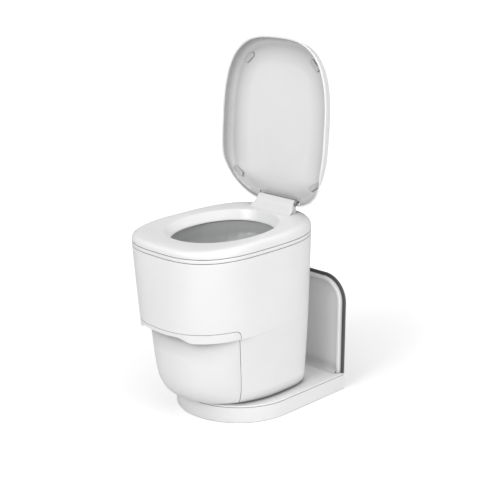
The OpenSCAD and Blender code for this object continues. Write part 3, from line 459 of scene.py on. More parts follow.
def housingPatch():
    angles = evenAngles(body["rim"], body["columns"])
    zc = seam["z"] - seam["corner"]
    corner = upperSection(seam["z"])
    cornerAngle = angleAtY(corner, seamY(seam["z"], 0))
    first = min(j for j, a in enumerate(angles) if a >= cornerAngle)
    angles[first] = cornerAngle
    angles[-first] = 2 * math.pi - cornerAngle
    back = list(range(first, body["columns"] - first + 1))
    rows = [(z, inset, lowerSection(z)) for z, inset in body["footEdge"] + [(z, 0.0) for z in housing["low"]]]
    levels = [housing["stepTop"] + k * housing["stepRise"] for k in range(housing["stepRows"])]
    levels += [zc + seam["corner"] * math.sin(math.radians(a)) for a in range(0, 90, housing["cornerTurn"])]
    rows += [(z, 0.0, upperSection(z)) for z in levels]
    points, inner, faces, ids = [], [], [], []

    def put(section, angle, z, inset):
        points.append((*sectionPoint(shrink(section, inset), angle), z))
        wall = max(body["wall"], inset + body["footWall"])
        inner.append((*sectionPoint(shrink(section, wall), angle), z))
        return len(points) - 1

    # rows from one side of the seam round the back to the other
    for z, inset, section in rows:
        edge = angleAtY(shrink(section, inset), seamY(z, 0))
        line = []
        for j in back:
            share = (angles[j] - math.pi) / (math.pi - cornerAngle)
            line.append(put(section, math.pi + share * (math.pi - edge), z, inset))
        ids.append(line)
    # full rings above the seam
    rings = []
    for z, inset in [(z, 0) for z in (seam["z"], *housing["high"])] + housing["rimEdge"]:
        rings.append([put(upperSection(z), a, z, inset) for a in angles])
    ids.append([rings[0][j % body["columns"]] for j in back])
    for p, q in zip(ids, ids[1:]):
        for c in range(len(p) - 1):
            faces.append((p[c], p[c + 1], q[c + 1], q[c]))
    for p, q in zip(rings, rings[1:]):
        for c in range(body["columns"]):
            d = (c + 1) % body["columns"]
            faces.append((p[c], p[d], q[d], q[c]))
    return thicken(points, inner, faces)


def makeHousing():
    points, faces = housingPatch()
    shell = meshFrom("housingShell", points, faces)
    softenEdges(shell, width=0.6, angle=50)
    finishPiece(shell, absGloss, "housing", "housing_shell", sharp=28)


makeHousing()
print("housing made")


# the rim ring between the two seams, with a tongue that hangs into the housing
rim = {"z0": 462.1, "z1": 471.3, "edge": 0.7, "foot": 441.3, "slip": 0.3, "tongue": 7.7, "lap": 0.2,
       "inner": [138.8, -59, -242.8, 124.8, 2.3, 2.3]}
# the seat's hinge at the rear, two pairs of knuckles, whose arms start at root and leave a gap between them
hinge = {"y": 189.6, "z": 472.4, "r": 7.0, "x": 60.0, "length": 12.0, "slip": 0.3, "root": 170.0, "gap": 1.2}


def makeRim():
    angles = evenAngles(body["rim"], body["columns"])
    e = rim["edge"]
    tongue = shrink(upperSection(rim["foot"]), body["wall"] + rim["slip"])
    inside = shrink(tongue, rim["tongue"])
    stations = [(tongue, rim["foot"], 0), (tongue, rim["z0"], 0), (body["rim"], rim["z0"], e),
                (body["rim"], rim["z0"] + 0.3 * e, 0.3 * e),
                (body["rim"], rim["z0"] + e, 0), (body["rim"], rim["z1"] - e, 0),
                (body["rim"], rim["z1"] - 0.3 * e, 0.3 * e), (body["rim"], rim["z1"], e),
                (rim["inner"], rim["z1"], 0), (rim["inner"], rim["z0"] - rim["lap"], 0),
                (inside, rim["z0"] - rim["lap"], 0), (inside, rim["foot"], 0)]
    points = [(*sectionPoint(shrink(s, d), a), z) for s, z, d in stations for a in angles]
    faces = gridFaces(len(stations), body["columns"], closeRows=True, closeColumns=True)
    parts = [meshFrom("rimRing", points, faces)]
    for x0 in (-hinge["x"], hinge["x"] - hinge["length"]):
        parts.append(hingeLug("frameLug", x0, -1))
    piece = joined("rimRing", parts)
    finishPiece(piece, absGloss, "housing", "rim_frame")


def hingeLug(name, x0, up):
    # a knuckle with its arm, as one profile drawn out along X; up is 1 on the seat and -1 on the rim ring
    r, y, z, root = hinge["r"], hinge["y"], hinge["z"], hinge["root"]
    turn = [math.radians(a) for a in range(80 * up, -181 * up, -10 * up)]
    profile = [(root, z + up * r), (y, z + up * r)]
    profile += [(y + r * math.cos(t), z + r * math.sin(t)) for t in turn]
    profile.append((root, z + up * hinge["gap"] / 2))
    points = [(x, p[0], p[1]) for x in (x0, x0 + hinge["length"]) for p in profile]
    return softenEdges(meshFrom(name, points, drawnFaces(2, len(profile))), width=0.6, angle=50)


# the seat: a dished ring from the body's outline over a crest to the opening
seat = {"z": 472.4, "thick": 18.4, "rise": 10.5, "edge": 3.6,
        "crest": [127, -57, -220.5, 97, 2.15, 2.2], "open": [108, -50, -208, 90, 2.1, 2.15]}
# the strap at its rear that carries the lid's knuckle
bracket = {"axisY": 148.0, "axisZ": 528.0, "curl": 9.0, "bore": 6.6, "topHalf": 65.0, "footHalf": 73.5,
           "footLift": 2, "flare": 20.0, "columns": 13}


def seatStations():
    # share, height and saddle: share 0 is the outer edge, 1 the crest and 2 the opening's edge
    t, edge = seat["thick"], seat["edge"]
    side = [[0.012, 0.0, 0], [0.003, 0.4, 0], [0.0, 1.6, 0], [0.0, 5.0, 0.1]]
    crown = splineRows([[0.0, 5.0, 0.1], [0.006, 0.5 * t, 0.25], [0.025, 0.67 * t, 0.5],
                        [0.06, 0.79 * t, 0.8], [0.18, 0.93 * t, 1.35], [0.46, 1.01 * t, 1.2],
                        [0.75, 1.015 * t, 1.08], [0.96, t, 1.01]], perGap=5)
    crest = [[1.0, t - 0.35, 0.99], [1.03, t - 0.95, 0.965], [1.08, t - 1.9, 0.92]]
    slope = [[1 + k, (t - 0.6) * (1 - k) + edge * k, 1 - k] for k in (0.2, 0.35, 0.5, 0.65, 0.8, 0.92)]
    lip = [[1.98, edge - 0.1, 0], [2.0, edge - 0.9, 0], [2.0, 0.5, 0], [1.98, 0.0, 0]]
    return side + crown[1:] + crest + slope + lip + [[1.0, 0.0, 0], [0.1, 0.0, 0]]


def seatPoint(angle, share, height, saddle):
    outer = sectionPoint(body["rim"] if share <= 1 else seat["crest"], angle)
    inner = sectionPoint(seat["crest"] if share <= 1 else seat["open"], angle)
    k = share if share <= 1 else share - 1
    lift = seat["rise"] * (1 - math.cos(angle)) / 2
    return mix(outer[0], inner[0], k), mix(outer[1], inner[1], k), seat["z"] + height + saddle * lift


def bracketPiece():
    # the strap: a swept profile whose half width tapers upwards, curled round the knuckle
    y, z, r = bracket["axisY"], bracket["axisZ"], bracket["curl"]
    foot = seat["z"] + seat["thick"] + seat["rise"] + bracket["footLift"]
    front = [(y - 40, foot - 2.2), (y - 36, foot - 1.0), (y - 31.5, foot + 0.9), (y - 27, foot + 3.6),
             (y - 23, foot + 7.3), (y - 19.2, foot + 12.0), (y - 15.6, foot + 18.0), (y - 12.0, z - 2.0),
             (y - 10.6, z + 1.8), (y - 8.9, z + 2.5)]

    def arc(radius, *degrees):
        turn = [math.radians(d) for d in range(*degrees)]
        return [(y + radius * math.cos(a), z + radius * math.sin(a)) for a in turn]

    knuckle = arc(r, 162, 107, -9) + arc(bracket["bore"], 112, 341, 12) + arc(r, 340, 269, -10)
    rear = [(y - 3.0, z - r - 4.0), (y - 6.0, foot + 6.0), (y - 8.0, foot - 1.0), (y - 40, foot - 5.0)]
    profile = front + knuckle + rear
    across = bracket["columns"]
    points = []
    for i in range(across):
        s = -1 + 2 * i / (across - 1)
        for py, pz in profile:
            half = mix(bracket["footHalf"], bracket["topHalf"], smooth((pz - foot) / bracket["flare"]))
            points.append((s * half, py, pz))
    faces = drawnFaces(across, len(profile))
    return softenEdges(meshFrom("strap", points, faces), width=0.5, angle=45)


def makeSeat():
    stations = seatStations()
    angles = evenAngles(body["rim"], body["columns"])
    points = [seatPoint(a, *st) for st in stations for a in angles]
    faces = gridFaces(len(stations), body["columns"], closeRows=True, closeColumns=True)
    parts = [meshFrom("seatRing", points, faces), bracketPiece()]
    for x0 in (-hinge["x"] - hinge["slip"] - hinge["length"], hinge["x"] + hinge["slip"]):
        parts.append(hingeLug("seatLug", x0, 1))
    piece = joined("seatRing", parts)
    finishPiece(piece, absGloss, "seat", "seat")


makeRim()
makeSeat()
print("rim and seat made")


# the lid in its own frame: x across, depth (negative is inside) and height along it from its hinge;
# backEdge is insets and depths round its back, strapRoom two corners of the room cut out for the strap,
# and the web holds the lid to its knuckle
lid = {"half": 184.0, "reach": 431.0, "tail": 14.0, "mid": 190.0, "power": 2.95, "lean": 3.6, "rim": 40.5,
       "back": 8.0, "wall": 4.0, "relief": 95.0, "slope": 0.345, "bend": 12, "cove": 24.0, "coveCurve": 0.78,
       "coveRows": 16, "humpEnd": 66, "humpRun": 60, "strapGap": 0.6, "rimR": 2.4, "rimStart": 3.0,
       "rimRows": 8, "columns": 220, "fill": (0.02, 0.15, 0.3, 0.45, 0.6, 0.72, 0.84, 0.93),
       "backEdge": [(5.6, -11.0), (6.6, -8.0), (8.4, -5.0), (11.0, -2.4), (14.4, -0.8), (19.0, -0.1)],
       "strapRoom": [(-74.0, -42.0, -42.0), (74.0, 9.5, 12.0)],
       "webHalf": 60.0, "webDepth": (6.1, 13.0), "webHeight": (-4, 5)}


def lidRim(s):
    # the rim is level with the seat's edge and draws back at the hinge, past a soft bend
    x, bend = lid["relief"] - s, lid["bend"]
    return -lid["rim"] + lid["slope"] * (0 if x < -bend else (x + bend) ** 2 / (4 * bend) if x < bend else x)


def lidBack(s):
    # the back's depth, with a hump over the strap
    hump = bracket["curl"] + lid["strapGap"] + lid["wall"]
    return mix(-lid["back"], hump, smooth((lid["humpEnd"] - s) / lid["humpRun"]))


def lidPoint(angle, inset):
    # a point of the lid's outline, in x and height
    b = (lid["reach"] - lid["mid"] if math.cos(angle) > 0 else lid["mid"] + lid["tail"]) - inset
    return ((lid["half"] - inset) * power(math.sin(angle), 2 / lid["power"]),
            lid["mid"] + b * power(math.cos(angle), 2 / lid["power"]))


def lidRing(angles, inset, kind, shift):
    # the outline drawn in by inset, at the rim's depth or the back's
    out = []
    for a in angles:
        x, s = lidPoint(a, inset)
        edge = lidPoint(a, 0)[1]
        out.append((x, (lidRim(edge) if kind == "rim" else lidBack(s)) + shift, s))
    return out


def lidFill(angles, scale, inset, shift):
    # that outline drawn in towards the lid's middle, at the back's depth
    out = []
    for a in angles:
        x, s = lidPoint(a, inset)
        x, s = x * scale, mix(lid["mid"], s, scale)
        out.append((x, lidBack(s) + shift, s))
    return out


def onLid(points):
    # from the lid's frame to the toilet's
    c, s = math.cos(math.radians(-lid["lean"])), math.sin(math.radians(-lid["lean"]))
    y0, z0 = bracket["axisY"], bracket["axisZ"]
    return [(x, y0 + y * c - z * s, z0 + y * s + z * c) for x, y, z in points]


def cutRoom(shell):
    # room for the strap at the hinge edge
    room = bpy.data.meshes.new("room")
    bm = bmesh.new()
    bmesh.ops.create_cube(bm, size=1)
    corners = [tuple(lid["strapRoom"][v.co[k] > 0][k] for k in range(3)) for v in bm.verts]
    for v, p in zip(bm.verts, onLid(corners)):
        v.co = [c * mm for c in p]
    bm.to_mesh(room)
    bm.free()
    cutter = link("room", room)
    cut = shell.modifiers.new("cut", "BOOLEAN")
    cut.operation, cut.object, cut.solver = "DIFFERENCE", cutter, "EXACT"
    applied(shell)
    bpy.data.objects.remove(cutter)


def makeLid():
    n = lid["columns"]
    top, foot = lid["reach"] - lid["mid"], lid["mid"] + lid["tail"]
    angles = evenAngles([lid["half"], 0, -top, foot, lid["power"], lid["power"]], n)
    w, r = -lid["wall"], lid["rimR"]
    rings = [lidFill(angles, k, lid["cove"], w) for k in lid["fill"]]
    panel, edge = lidRing(angles, lid["cove"], "back", w), lidRing(angles, 2 * r, "rim", lid["rimStart"])
    for k in range(lid["coveRows"] + 1):
        # from the panel up to the rim on a quarter of a soft-cornered square
        t = math.pi / 2 * k / lid["coveRows"]
        out, up = math.sin(t) ** lid["coveCurve"], 1 - math.cos(t) ** lid["coveCurve"]
        rings.append([(mix(p[0], q[0], out), mix(p[1], q[1], up), mix(p[2], q[2], out))
                      for p, q in zip(panel, edge)])
    # over the round rim, down the side and round the edge of the back
    rings += [lidRing(angles, r + r * math.cos(phi), "rim", r - r * math.sin(phi))
              for phi in [math.pi * k / lid["rimRows"] for k in range(lid["rimRows"] + 1)]]
    outer = lidRing(angles, 0.0, "rim", lid["rimStart"])
    turns = [lidRing(angles, inset, "back", depth) for inset, depth in lid["backEdge"]]
    for k in (0.0, 0.25, 0.5, 0.75, 1.0):
        rings.append([mix(p, q, k) for p, q in zip(outer, turns[0])])
    rings += turns[1:]
    rings += [lidFill(angles, k, lid["backEdge"][-1][0], 0) for k in reversed(lid["fill"])]
    points = [p for ring in rings for p in ring]
    shell = meshFrom("lidShell", onLid(points), drawnFaces(len(rings), n))
    cutRoom(shell)
    (near, far), (low, high) = lid["webDepth"], lid["webHeight"]
    square = [(near, low), (far, low), (far, high), (near, high)]
    web = [(x, y, z) for x in (-lid["webHalf"], lid["webHalf"]) for y, z in square]
    bar = meshFrom("web", onLid(web), drawnFaces(2, len(square)))
    piece = joined("lidShell", [shell, bar])
    finishPiece(piece, absDeep, "lid", "lid", sharp=40)


# rubber buffers in pairs: x, height on the lid and turn in degrees, then their sizes and depths;
# rise is heights, as shares, and insets up a buffer's rounded top
buffers = {"spots": [(115, 366, 42), (138, 57, -32)], "length": 38.0, "r": 7.0, "foot": -11.6, "tip": -17.0,
           "around": 40, "rise": [(0.0, 0.0), (0.2, 0.0), (0.5, 0.05), (0.74, 0.2), (0.86, 0.6), (0.94, 1.2),
                                  (0.985, 2.2), (1.0, 4.0)]}


def padTree():
    # sets a pad on every point of the base mesh, turned as the point's own attribute says
    tree = bpy.data.node_groups.new("padsOnPoints", "GeometryNodeTree")
    face = tree.interface
    face.new_socket("Geometry", in_out="INPUT", socket_type="NodeSocketGeometry")
    face.new_socket("Pad", in_out="INPUT", socket_type="NodeSocketObject")
    face.new_socket("Pad height", in_out="INPUT", socket_type="NodeSocketFloat")
    face.new_socket("Finish", in_out="INPUT", socket_type="NodeSocketMaterial")
    face.new_socket("Geometry", in_out="OUTPUT", socket_type="NodeSocketGeometry")
    given = addNode(tree, "NodeGroupInput")
    turn = addNode(tree, "GeometryNodeInputNamedAttribute", {"data_type": "FLOAT_VECTOR"}, {"Name": "turn"})
    pad = addNode(tree, "GeometryNodeObjectInfo", links={"Object": given.outputs["Pad"]})
    size = addNode(tree, "ShaderNodeCombineXYZ", values={"X": 1.0, "Y": 1.0},
                   links={"Z": given.outputs["Pad height"]})
    placed = addNode(tree, "GeometryNodeInstanceOnPoints",
                     links={"Points": given.outputs["Geometry"], "Instance": pad.outputs["Geometry"],
                            "Rotation": turn.outputs["Attribute"], "Scale": size.outputs["Vector"]})
    real = addNode(tree, "GeometryNodeRealizeInstances", links={"Geometry": placed.outputs["Instances"]})
    coloured = addNode(tree, "GeometryNodeSetMaterial",
                       links={"Geometry": real.outputs["Geometry"], "Material": given.outputs["Finish"]})
    addNode(tree, "NodeGroupOutput", links={"Geometry": coloured.outputs["Geometry"]})
    return tree


def padMesh():
    # one pad, 1 mm high before its height is set, with a rounded top
    around, r, half = buffers["around"], buffers["r"], buffers["length"] / 2 - buffers["r"]
    points = []
    for h, inset in buffers["rise"]:
        for k in range(around):
            t = 2 * math.pi * (k + 0.5) / around
            c, si = (r - inset) * math.cos(t), (r - inset) * math.sin(t)
            points.append((math.copysign(half, c) + c, si, h))
    return meshFrom("pad", points, drawnFaces(len(buffers["rise"]), around))


def makeBuffers():
    lean = Matrix.Rotation(math.radians(-lid["lean"]), 4, "X")
    upright = Matrix.Rotation(math.radians(90), 4, "X")
    spots, turns = [], []
    for x, s, turn in buffers["spots"]:
        for side in (-1, 1):
            spots.append([c * mm for c in onLid([(side * x, buffers["foot"], s)])[0]])
            spin = Matrix.Rotation(math.radians(turn * side), 4, "Y")
            turns.append((lean @ (spin @ upright)).to_euler())
    mesh = bpy.data.meshes.new("lidBuffers")
    mesh.from_pydata(spots, [], [])
    attribute = mesh.attributes.new("turn", "FLOAT_VECTOR", "POINT")
    for item, turn in zip(attribute.data, turns):
        item.vector = tuple(turn)
    piece = link("lidBuffers", mesh)
    pad = padMesh()
    tree = padTree()
    maker = piece.modifiers.new("pads", "NODES")
    maker.node_group = tree
    ids = {item.name: item.identifier for item in tree.interface.items_tree if item.in_out == "INPUT"}
    maker[ids["Pad"]] = pad
    maker[ids["Pad height"]] = buffers["foot"] - buffers["tip"]
    maker[ids["Finish"]] = elastomerPale
    applied(piece)
    bpy.data.objects.remove(pad)
    finishPiece(piece, elastomerPale, "lid", "lid_buffers", sharp=50)


makeLid()
makeBuffers()
print("lid made")


# the drawer front: its rows up to the step, the lip above it, and the finger grip under the lip, whose
# roof ends at lipShare of the way out from the wall to the lip
drawer = {"floor": 59.0, "tuck": 2.5, "edgeZ": 252, "edgeColumn": 1.2,
          "levels": (65, 70, 77, 85, 94, 105, 118, 133, 150, 170, 192, 214, 232, 243, 247.5),
          "lipZ": 250.2, "lipEase": 1.6, "lipRound": 0.06, "faceZ": 252.5, "archEnd": 120, "archFade": 20,
          "gripHalf": 96.0, "gripWall": 92.0, "gripRoof": 267.0, "lipShare": 0.835,
          "archTop": 60.0, "archFoot": 98.0, "archRise": 13.0}


def drawerColumns():
    # the columns stand closer at the grip's side walls
    section = upperSection(drawer["edgeZ"])
    edgeX = sectionPoint(section, angleAtY(section, seamY(drawer["edgeZ"], seam["gap"])))[0]
    xs = [0, 10, 20, 30, 40, 50, 60, 68, 75, 80, 84, 87, 89.5, 91, 92, 93.2, 94.4, 95.4, 96.2, 97.2, 98.6,
          101, 105, 110, 116, 122, 128, 134, 139, 143, 146.5, 149]
    xs = [x for x in xs if x < edgeX - drawer["edgeColumn"]] + [edgeX]
    full = angleAtX(section, edgeX)
    shares = [angleAtX(section, x) / full for x in xs]
    return [-s for s in reversed(shares[1:])] + shares, [-x for x in reversed(xs[1:])] + xs


def lipEdge(x):
    # the lip's lower edge, arched over the grip
    arch = 1 - smooth((x - drawer["archTop"]) / (drawer["archFoot"] - drawer["archTop"]))
    return body["stepZ"] + drawer["archRise"] * arch


def underside(x, share):
    # the step's height under the lip, with the grip's pocket in it; the share runs from wall to lip
    if share <= 0.0:
        return body["stepZ"]
    if share >= drawer["lipShare"]:
        return lipEdge(x)
    pocket = 1 - smooth((x - drawer["gripWall"]) / (drawer["gripHalf"] - drawer["gripWall"]))
    return mix(body["stepZ"], drawer["gripRoof"], pocket)


def makeDrawerFront():
    shares, xs = drawerColumns()
    g, wall, stepZ = seam["gap"], body["wall"], body["stepZ"]
    top = seam["z"] - g
    zc = seam["z"] - seam["corner"]
    outer, inner = [], []

    def row(section, z, inset=0.0, insideZ=None, insideSection=None):
        edge = angleAtY(shrink(section, inset), seamY(z, g))
        zi = z if insideZ is None else insideZ
        back = shrink(insideSection or section, wall)
        edgeIn = angleAtY(back, seamY(zi, g))
        for s in shares:
            outer.append((*sectionPoint(shrink(section, inset), s * edge), z))
            inner.append((*sectionPoint(back, s * edgeIn), zi))

    # the floor, from the seam's line forward
    footZ, floorZ = body["footZ"], drawer["floor"]
    footOuter = shrink(lowerSection(footZ), body["footEdge"][0][1])
    footInner = shrink(lowerSection(floorZ), wall + drawer["tuck"])
    for t in (0.0, 0.35, 0.7, 0.9):
        for s in shares:
            p = sectionPoint(footOuter, s * angleAtY(footOuter, seamY(footZ, g)))
            q = sectionPoint(footInner, s * angleAtY(footInner, seamY(floorZ, g)))
            outer.append((p[0], mix(seamY(footZ, g), p[1], t), body["footEdge"][0][0]))
            inner.append((q[0], mix(seamY(floorZ, g), q[1], t), floorZ))
    # round the foot and up to the step
    footWall = shrink(lowerSection(floorZ), drawer["tuck"])
    for z, inset in body["footEdge"]:
        row(lowerSection(z), z, inset, floorZ + (z - footZ) * 0.3, footWall)
    for z in drawer["levels"]:
        row(lowerSection(z), z)

    # out under the lip, through the grip's pocket, and round the lip's lower edge
    bellyLine, lipLine = body["belly"], upperSection(drawer["lipZ"])
    e0 = angleAtY(bellyLine, seamY(stepZ, g))
    e1 = angleAtY(lipLine, seamY(stepZ, g))
    back = shrink(bellyLine, wall)
    eb = angleAtY(back, seamY(stepZ, g))
    ease = drawer["lipRound"]
    under = (0.0, 0.018, 0.05, 0.2, 0.4, 0.6, 0.76, 0.81, 0.828, 0.836, 0.86, 0.9, 1 - ease)
    for w, lift in [(w, None) for w in under] + [(1 - ease * 0.3, 0.45), (1.0, drawer["lipEase"])]:
        for s, x in zip(shares, xs):
            p = mix(sectionPoint(bellyLine, s * e0), sectionPoint(lipLine, s * e1), w)
            outer.append((*p, underside(abs(x), w) if lift is None else lipEdge(abs(x)) + lift))
            inner.append((*sectionPoint(back, s * eb), stepZ if lift is None else stepZ + 0.5))
    # up the lip's face, then over its rounded top corners
    faceFoot = stepZ + drawer["lipEase"]
    levels = [mix(drawer["faceZ"], zc, step) for step in (0.15, 0.35)]
    levels += [zc + (seam["corner"] - g) * math.sin(math.radians(p)) for p in range(0, 91, 9)]
    for flatZ in levels:
        section = upperSection(flatZ)
        edge = angleAtY(section, seamY(flatZ, g))
        edgeIn = angleAtY(back, seamY(flatZ, g))
        share = (flatZ - faceFoot) / (top - faceFoot)
        for s, x in zip(shares, xs):
            z = mix(lipEdge(abs(x)) + drawer["lipEase"], top, share)
            z = mix(z, flatZ, smooth((abs(x) - drawer["archEnd"]) / drawer["archFade"]))
            outer.append((*sectionPoint(section, s * edge), z))
            inner.append((*sectionPoint(back, s * edgeIn), flatZ))
    n = len(shares)
    points, faces = thicken(outer, inner, gridFaces(len(outer) // n, n))
    piece = meshFrom("drawerFront", points, faces)
    softenEdges(piece, width=0.5, angle=55)
    finishPiece(piece, absDeep, "drawer", "drawer_front", sharp=32)


makeDrawerFront()
print("drawer front made")


# the base, a tray with a line round it, and in its top the bearing's room with the pivot's bore
base = {"r": 168.0, "rear": 242.0, "h": 48.0, "wall": 8.0, "slab": 18.0, "seamZ": 43.6, "roomR": 110.3,
        "roomZ": 37.8, "pivotR": 28.0, "pivotWall": 4, "frontRows": 48, "sideRows": 12, "rearRows": 16}
# the splash shield: its face, thickness and top, corner radius, border and recess; edge is the spacer's
shield = {"y": 224.0, "t": 12.0, "top": 323.0, "corner": 72.0, "inset": 8.0, "border": 10.0, "recess": 6.0,
          "cove": 18.0, "edge": 0.8, "sideRows": 14, "topRows": 12}


def baseLine(inset):
    # half round in front, straight sides and a square rear, in X and Y
    r, rear = base["r"] - inset, base["rear"] - inset
    front, side, across = base["frontRows"], base["sideRows"], base["rearRows"]
    turn = [math.pi + math.pi * k / front for k in range(front + 1)]
    pts = [(r * math.cos(a), r * math.sin(a)) for a in turn]
    pts += [(r, rear * k / side) for k in range(1, side + 1)]
    pts += [(r - 2 * r * k / across, rear) for k in range(1, across + 1)]
    pts += [(-r, rear - rear * k / side) for k in range(1, side)]
    return pts


def circleLike(line, r):
    # the same count of points on a circle, each on its own bearing
    out = []
    for x, y in line:
        d = math.hypot(x, y)
        out.append((x * r / d, y * r / d))
    return out


def makeBase():
    h, z = base["h"], base["seamZ"]
    # inset and height up the side, into the line round it and over the top edge
    stations = [(0.6, 0.0), (0.15, 0.35), (0.0, 1.2), (0.0, z - 1.0), (0.3, z - 0.7), (1.8, z - 0.6),
                (1.8, z + 0.6), (0.3, z + 0.7), (0.0, z + 1.0), (0.0, h - 2.2), (0.35, h - 0.9),
                (1.1, h - 0.25), (2.4, h)]
    lines = [[(*p, z) for p in baseLine(inset)] for inset, z in stations]
    ring = baseLine(stations[-1][0])
    lines.append([(*mix(p, q, 0.5), h) for p, q in zip(ring, circleLike(ring, base["roomR"]))])
    # down into the bearing's room, through the pivot's bore and back up to the slab's underside
    room, pivot = base["roomR"], base["pivotR"]
    tube = pivot + base["pivotWall"]
    for r, z in ((room + 0.5, h), (room, h - 0.5), (room, base["roomZ"]), (pivot, base["roomZ"]),
                 (pivot, 0.0), (tube, 0.0), (tube, h - base["slab"])):
        lines.append([(*p, z) for p in circleLike(ring, r)])
    lines.append([(*p, h - base["slab"]) for p in baseLine(base["wall"])])
    lines.append([(*p, 0.0) for p in baseLine(base["wall"])])
    n = len(ring)
    points = [p for line in lines for p in line]
    piece = meshFrom("basePlate", points, gridFaces(len(lines), n, closeRows=True, closeColumns=True))
    finishPiece(piece, absBase, "base", "base_plate", sharp=28)


def shieldLine(inset, foot):
    # up the left side, over the two rounded corners and down the right, in X and Z
    half, r = base["r"] - inset, shield["corner"] - inset
    cx, cz = base["r"] - shield["corner"], shield["top"] - shield["corner"]
    side, across = shield["sideRows"], shield["topRows"]
    left, right = [[math.radians(d) for d in turn] for turn in (range(175, 89, -5), range(90, -1, -5))]
    pts = [(-half, mix(foot, cz, k / side)) for k in range(side + 1)]
    pts += [(-cx + r * math.cos(a), cz + r * math.sin(a)) for a in left]
    pts += [(mix(-cx, cx, k / across), shield["top"] - inset) for k in range(1, across)]
    pts += [(cx + r * math.cos(a), cz + r * math.sin(a)) for a in right]
    pts += [(half, mix(cz, foot, k / side)) for k in range(1, side + 1)]
    return pts


def coveStrip(y, z, half):
    # the recess runs into the base's top in a soft curve
    r = shield["cove"]
    turn = [math.radians(d) for d in range(0, 91, 10)]
    profile = [(y - r + r * math.sin(a), z + r - r * math.cos(a)) for a in turn]
    profile += [(y + 1.0, z + r), (y + 1.0, z - 0.2), (y - r, z - 0.2)]
    points = [(x, py, pz) for x in (-half, half) for py, pz in profile]
    return meshFrom("cove", points, drawnFaces(2, len(profile)))


def makeShield():
    y0, y1, foot = shield["y"], shield["y"] + shield["t"], base["h"]
    a, d = shield["inset"], shield["recess"]
    b = a + shield["border"]
    # inset and y from the back over the border and down into the recess
    stations = [(a, y1), (a, y0 + 3.0), (a + 0.5, y0 + 1.4), (a + 1.5, y0 + 0.4), (a + 3.0, y0),
                (b - 3.0, y0), (b - 1.6, y0 + 0.4), (b - 0.6, y0 + 1.4), (b, y0 + 2.8), (b + 0.6, y0 + 4.4),
                (b + 2.0, y0 + 5.5), (b + 4.5, y0 + d), (b + 10, y0 + d)]
    lines = [[(x, y, z) for x, z in shieldLine(inset, foot)] for inset, y in stations]
    # the recess's face, drawn in to a line up from the foot
    recess, heart = shieldLine(stations[-1][0], foot), foot + 60
    for k in (0.66, 0.33, 0.0):
        lines.append([(x * k, y0 + d, mix(heart, z, k) if z > heart else z) for x, z in recess])
    # the flat back closes the plate
    n, back = len(recess), len(recess) * len(lines)
    faces = gridFaces(len(lines), n) + [tuple(range(back, back + n))]
    lines.append([(x, y1, z) for x, z in shieldLine(a, foot)])
    points = [p for line in lines for p in line]
    plate = meshFrom("splashShield", points, faces, merge=0.05)
    piece = joined("splashShield", [plate, coveStrip(y0 + d, foot, base["r"] - b + 1.0)])
    finishPiece(piece, absGloss, "base", "back_panel", sharp=40)


def makeSpacer():
    y0, y1 = shield["y"] + shield["t"], base["rear"]
    e = shield["edge"]
    stations = [(e, y0), (0.2, y0 + 0.3), (0.0, y0 + e), (0.0, y1 - e), (0.2, y1 - 0.3), (e, y1)]
    lines = [[(x, y, z) for x, z in shieldLine(inset, base["h"])] for inset, y in stations]
    n = len(lines[0])
    points = [p for line in lines for p in line]
    last = (len(lines) - 1) * n
    faces = gridFaces(len(lines), n) + [tuple(range(n)), tuple(range(last, last + n))]
    piece = meshFrom("wallSpacer", points, faces)
    finishPiece(piece, ppDark, "base", "wall_spacer", sharp=40)


makeBase()
makeShield()
makeSpacer()
print("base made")


# the film hangs down the bowl from its mouth to its throat, clear of the funnel, in fine uneven folds
# that fade out at both ends
film = {"throat": [72, -59, -86, -32, 4, 4], "mouth": [116, -59, -216, 98, 2.1, 2.15], "z0": 351.0,
        "z1": 441.3, "top": 470.1, "end": 336.0, "clear": 2.24, "thick": 0.7, "columns": 200, "rows": 16,
        "folds": 23, "foldDepth": 0.495, "sway": 1.4, "sways": 5, "foldFoot": 340, "foldTop": 470, "fade": 30}


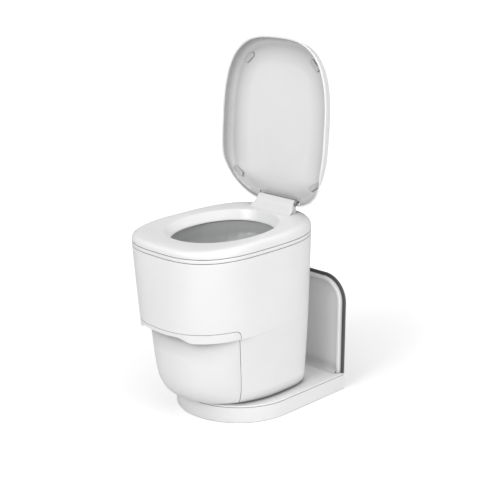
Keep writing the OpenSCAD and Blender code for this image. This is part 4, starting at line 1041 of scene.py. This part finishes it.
def makeFilm():
    n = film["columns"]
    angles = evenAngles(film["mouth"], n)
    waves = [math.sin(film["folds"] * a + film["sway"] * math.sin(film["sways"] * a)) for a in angles]
    rows = [(film["end"], 0.0), (film["z0"], 0.0)]
    shares = [k / film["rows"] for k in range(1, film["rows"] + 1)]
    rows += [(mix(film["z0"], film["z1"], u), u) for u in shares]
    rows += [(450.0, 1.0), (460.0, 1.0), (film["top"] - 0.4, 1.0), (film["top"], 1.0)]
    outer, inner = [], []
    for z, u in rows:
        s = mix(film["throat"], film["mouth"], smooth(u))
        fade = smooth((film["foldTop"] - z) / film["fade"]) * smooth((z - film["foldFoot"]) / film["fade"])
        for a, wave in zip(angles, waves):
            inset = film["clear"] + film["foldDepth"] * wave * fade
            outer.append((*sectionPoint(shrink(s, inset), a), z))
            inner.append((*sectionPoint(shrink(s, inset + film["thick"]), a), z))
    points, faces = thicken(outer, inner, gridFaces(len(rows), n, closeColumns=True))
    piece = meshFrom("linerFilm", points, faces)
    finishPiece(piece, filmGrey, "housing", "liner_film", sharp=50)


makeFilm()
print("film made")


# finishes of the CAD pieces that stay as they are
finishes = {
    ppDark: ["power_inlet", "chassis_pan", "pivot_bush", "seal_motor", "feed_motor", "control_box",
             "waste_bin", "jaw_racks", "jaw_pinions"],
    acetalGrey: ["bearing_lower", "bearing_upper", "bowl_funnel", "liner_cassette", "reduction_gear"],
    acetalPale: ["lid_knuckle"],
    zincSteel: ["panel_screws", "pivot_tube", "pivot_nut", "chassis_columns", "funnel_posts",
                "jaw_guide_rods", "motor_bracket", "drawer_rails", "drawer_cradle", "drawer_slide_middles",
                "seat_hinge_pins", "lid_hinge_pin", "jaw_shaft", "motor_pinion", "front_roller_shaft",
                "rear_roller_shaft"],
    millAluminium: ["mechanism_deck", "sealing_frame", "fixed_jaw", "moving_jaw"],
    nitrileDark: ["front_feed_roller", "rear_feed_roller"],
}
for material, names in finishes.items():
    for name in names:
        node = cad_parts[name]
        node.data.materials.clear()
        node.data.materials.append(material)

print("finishes set")
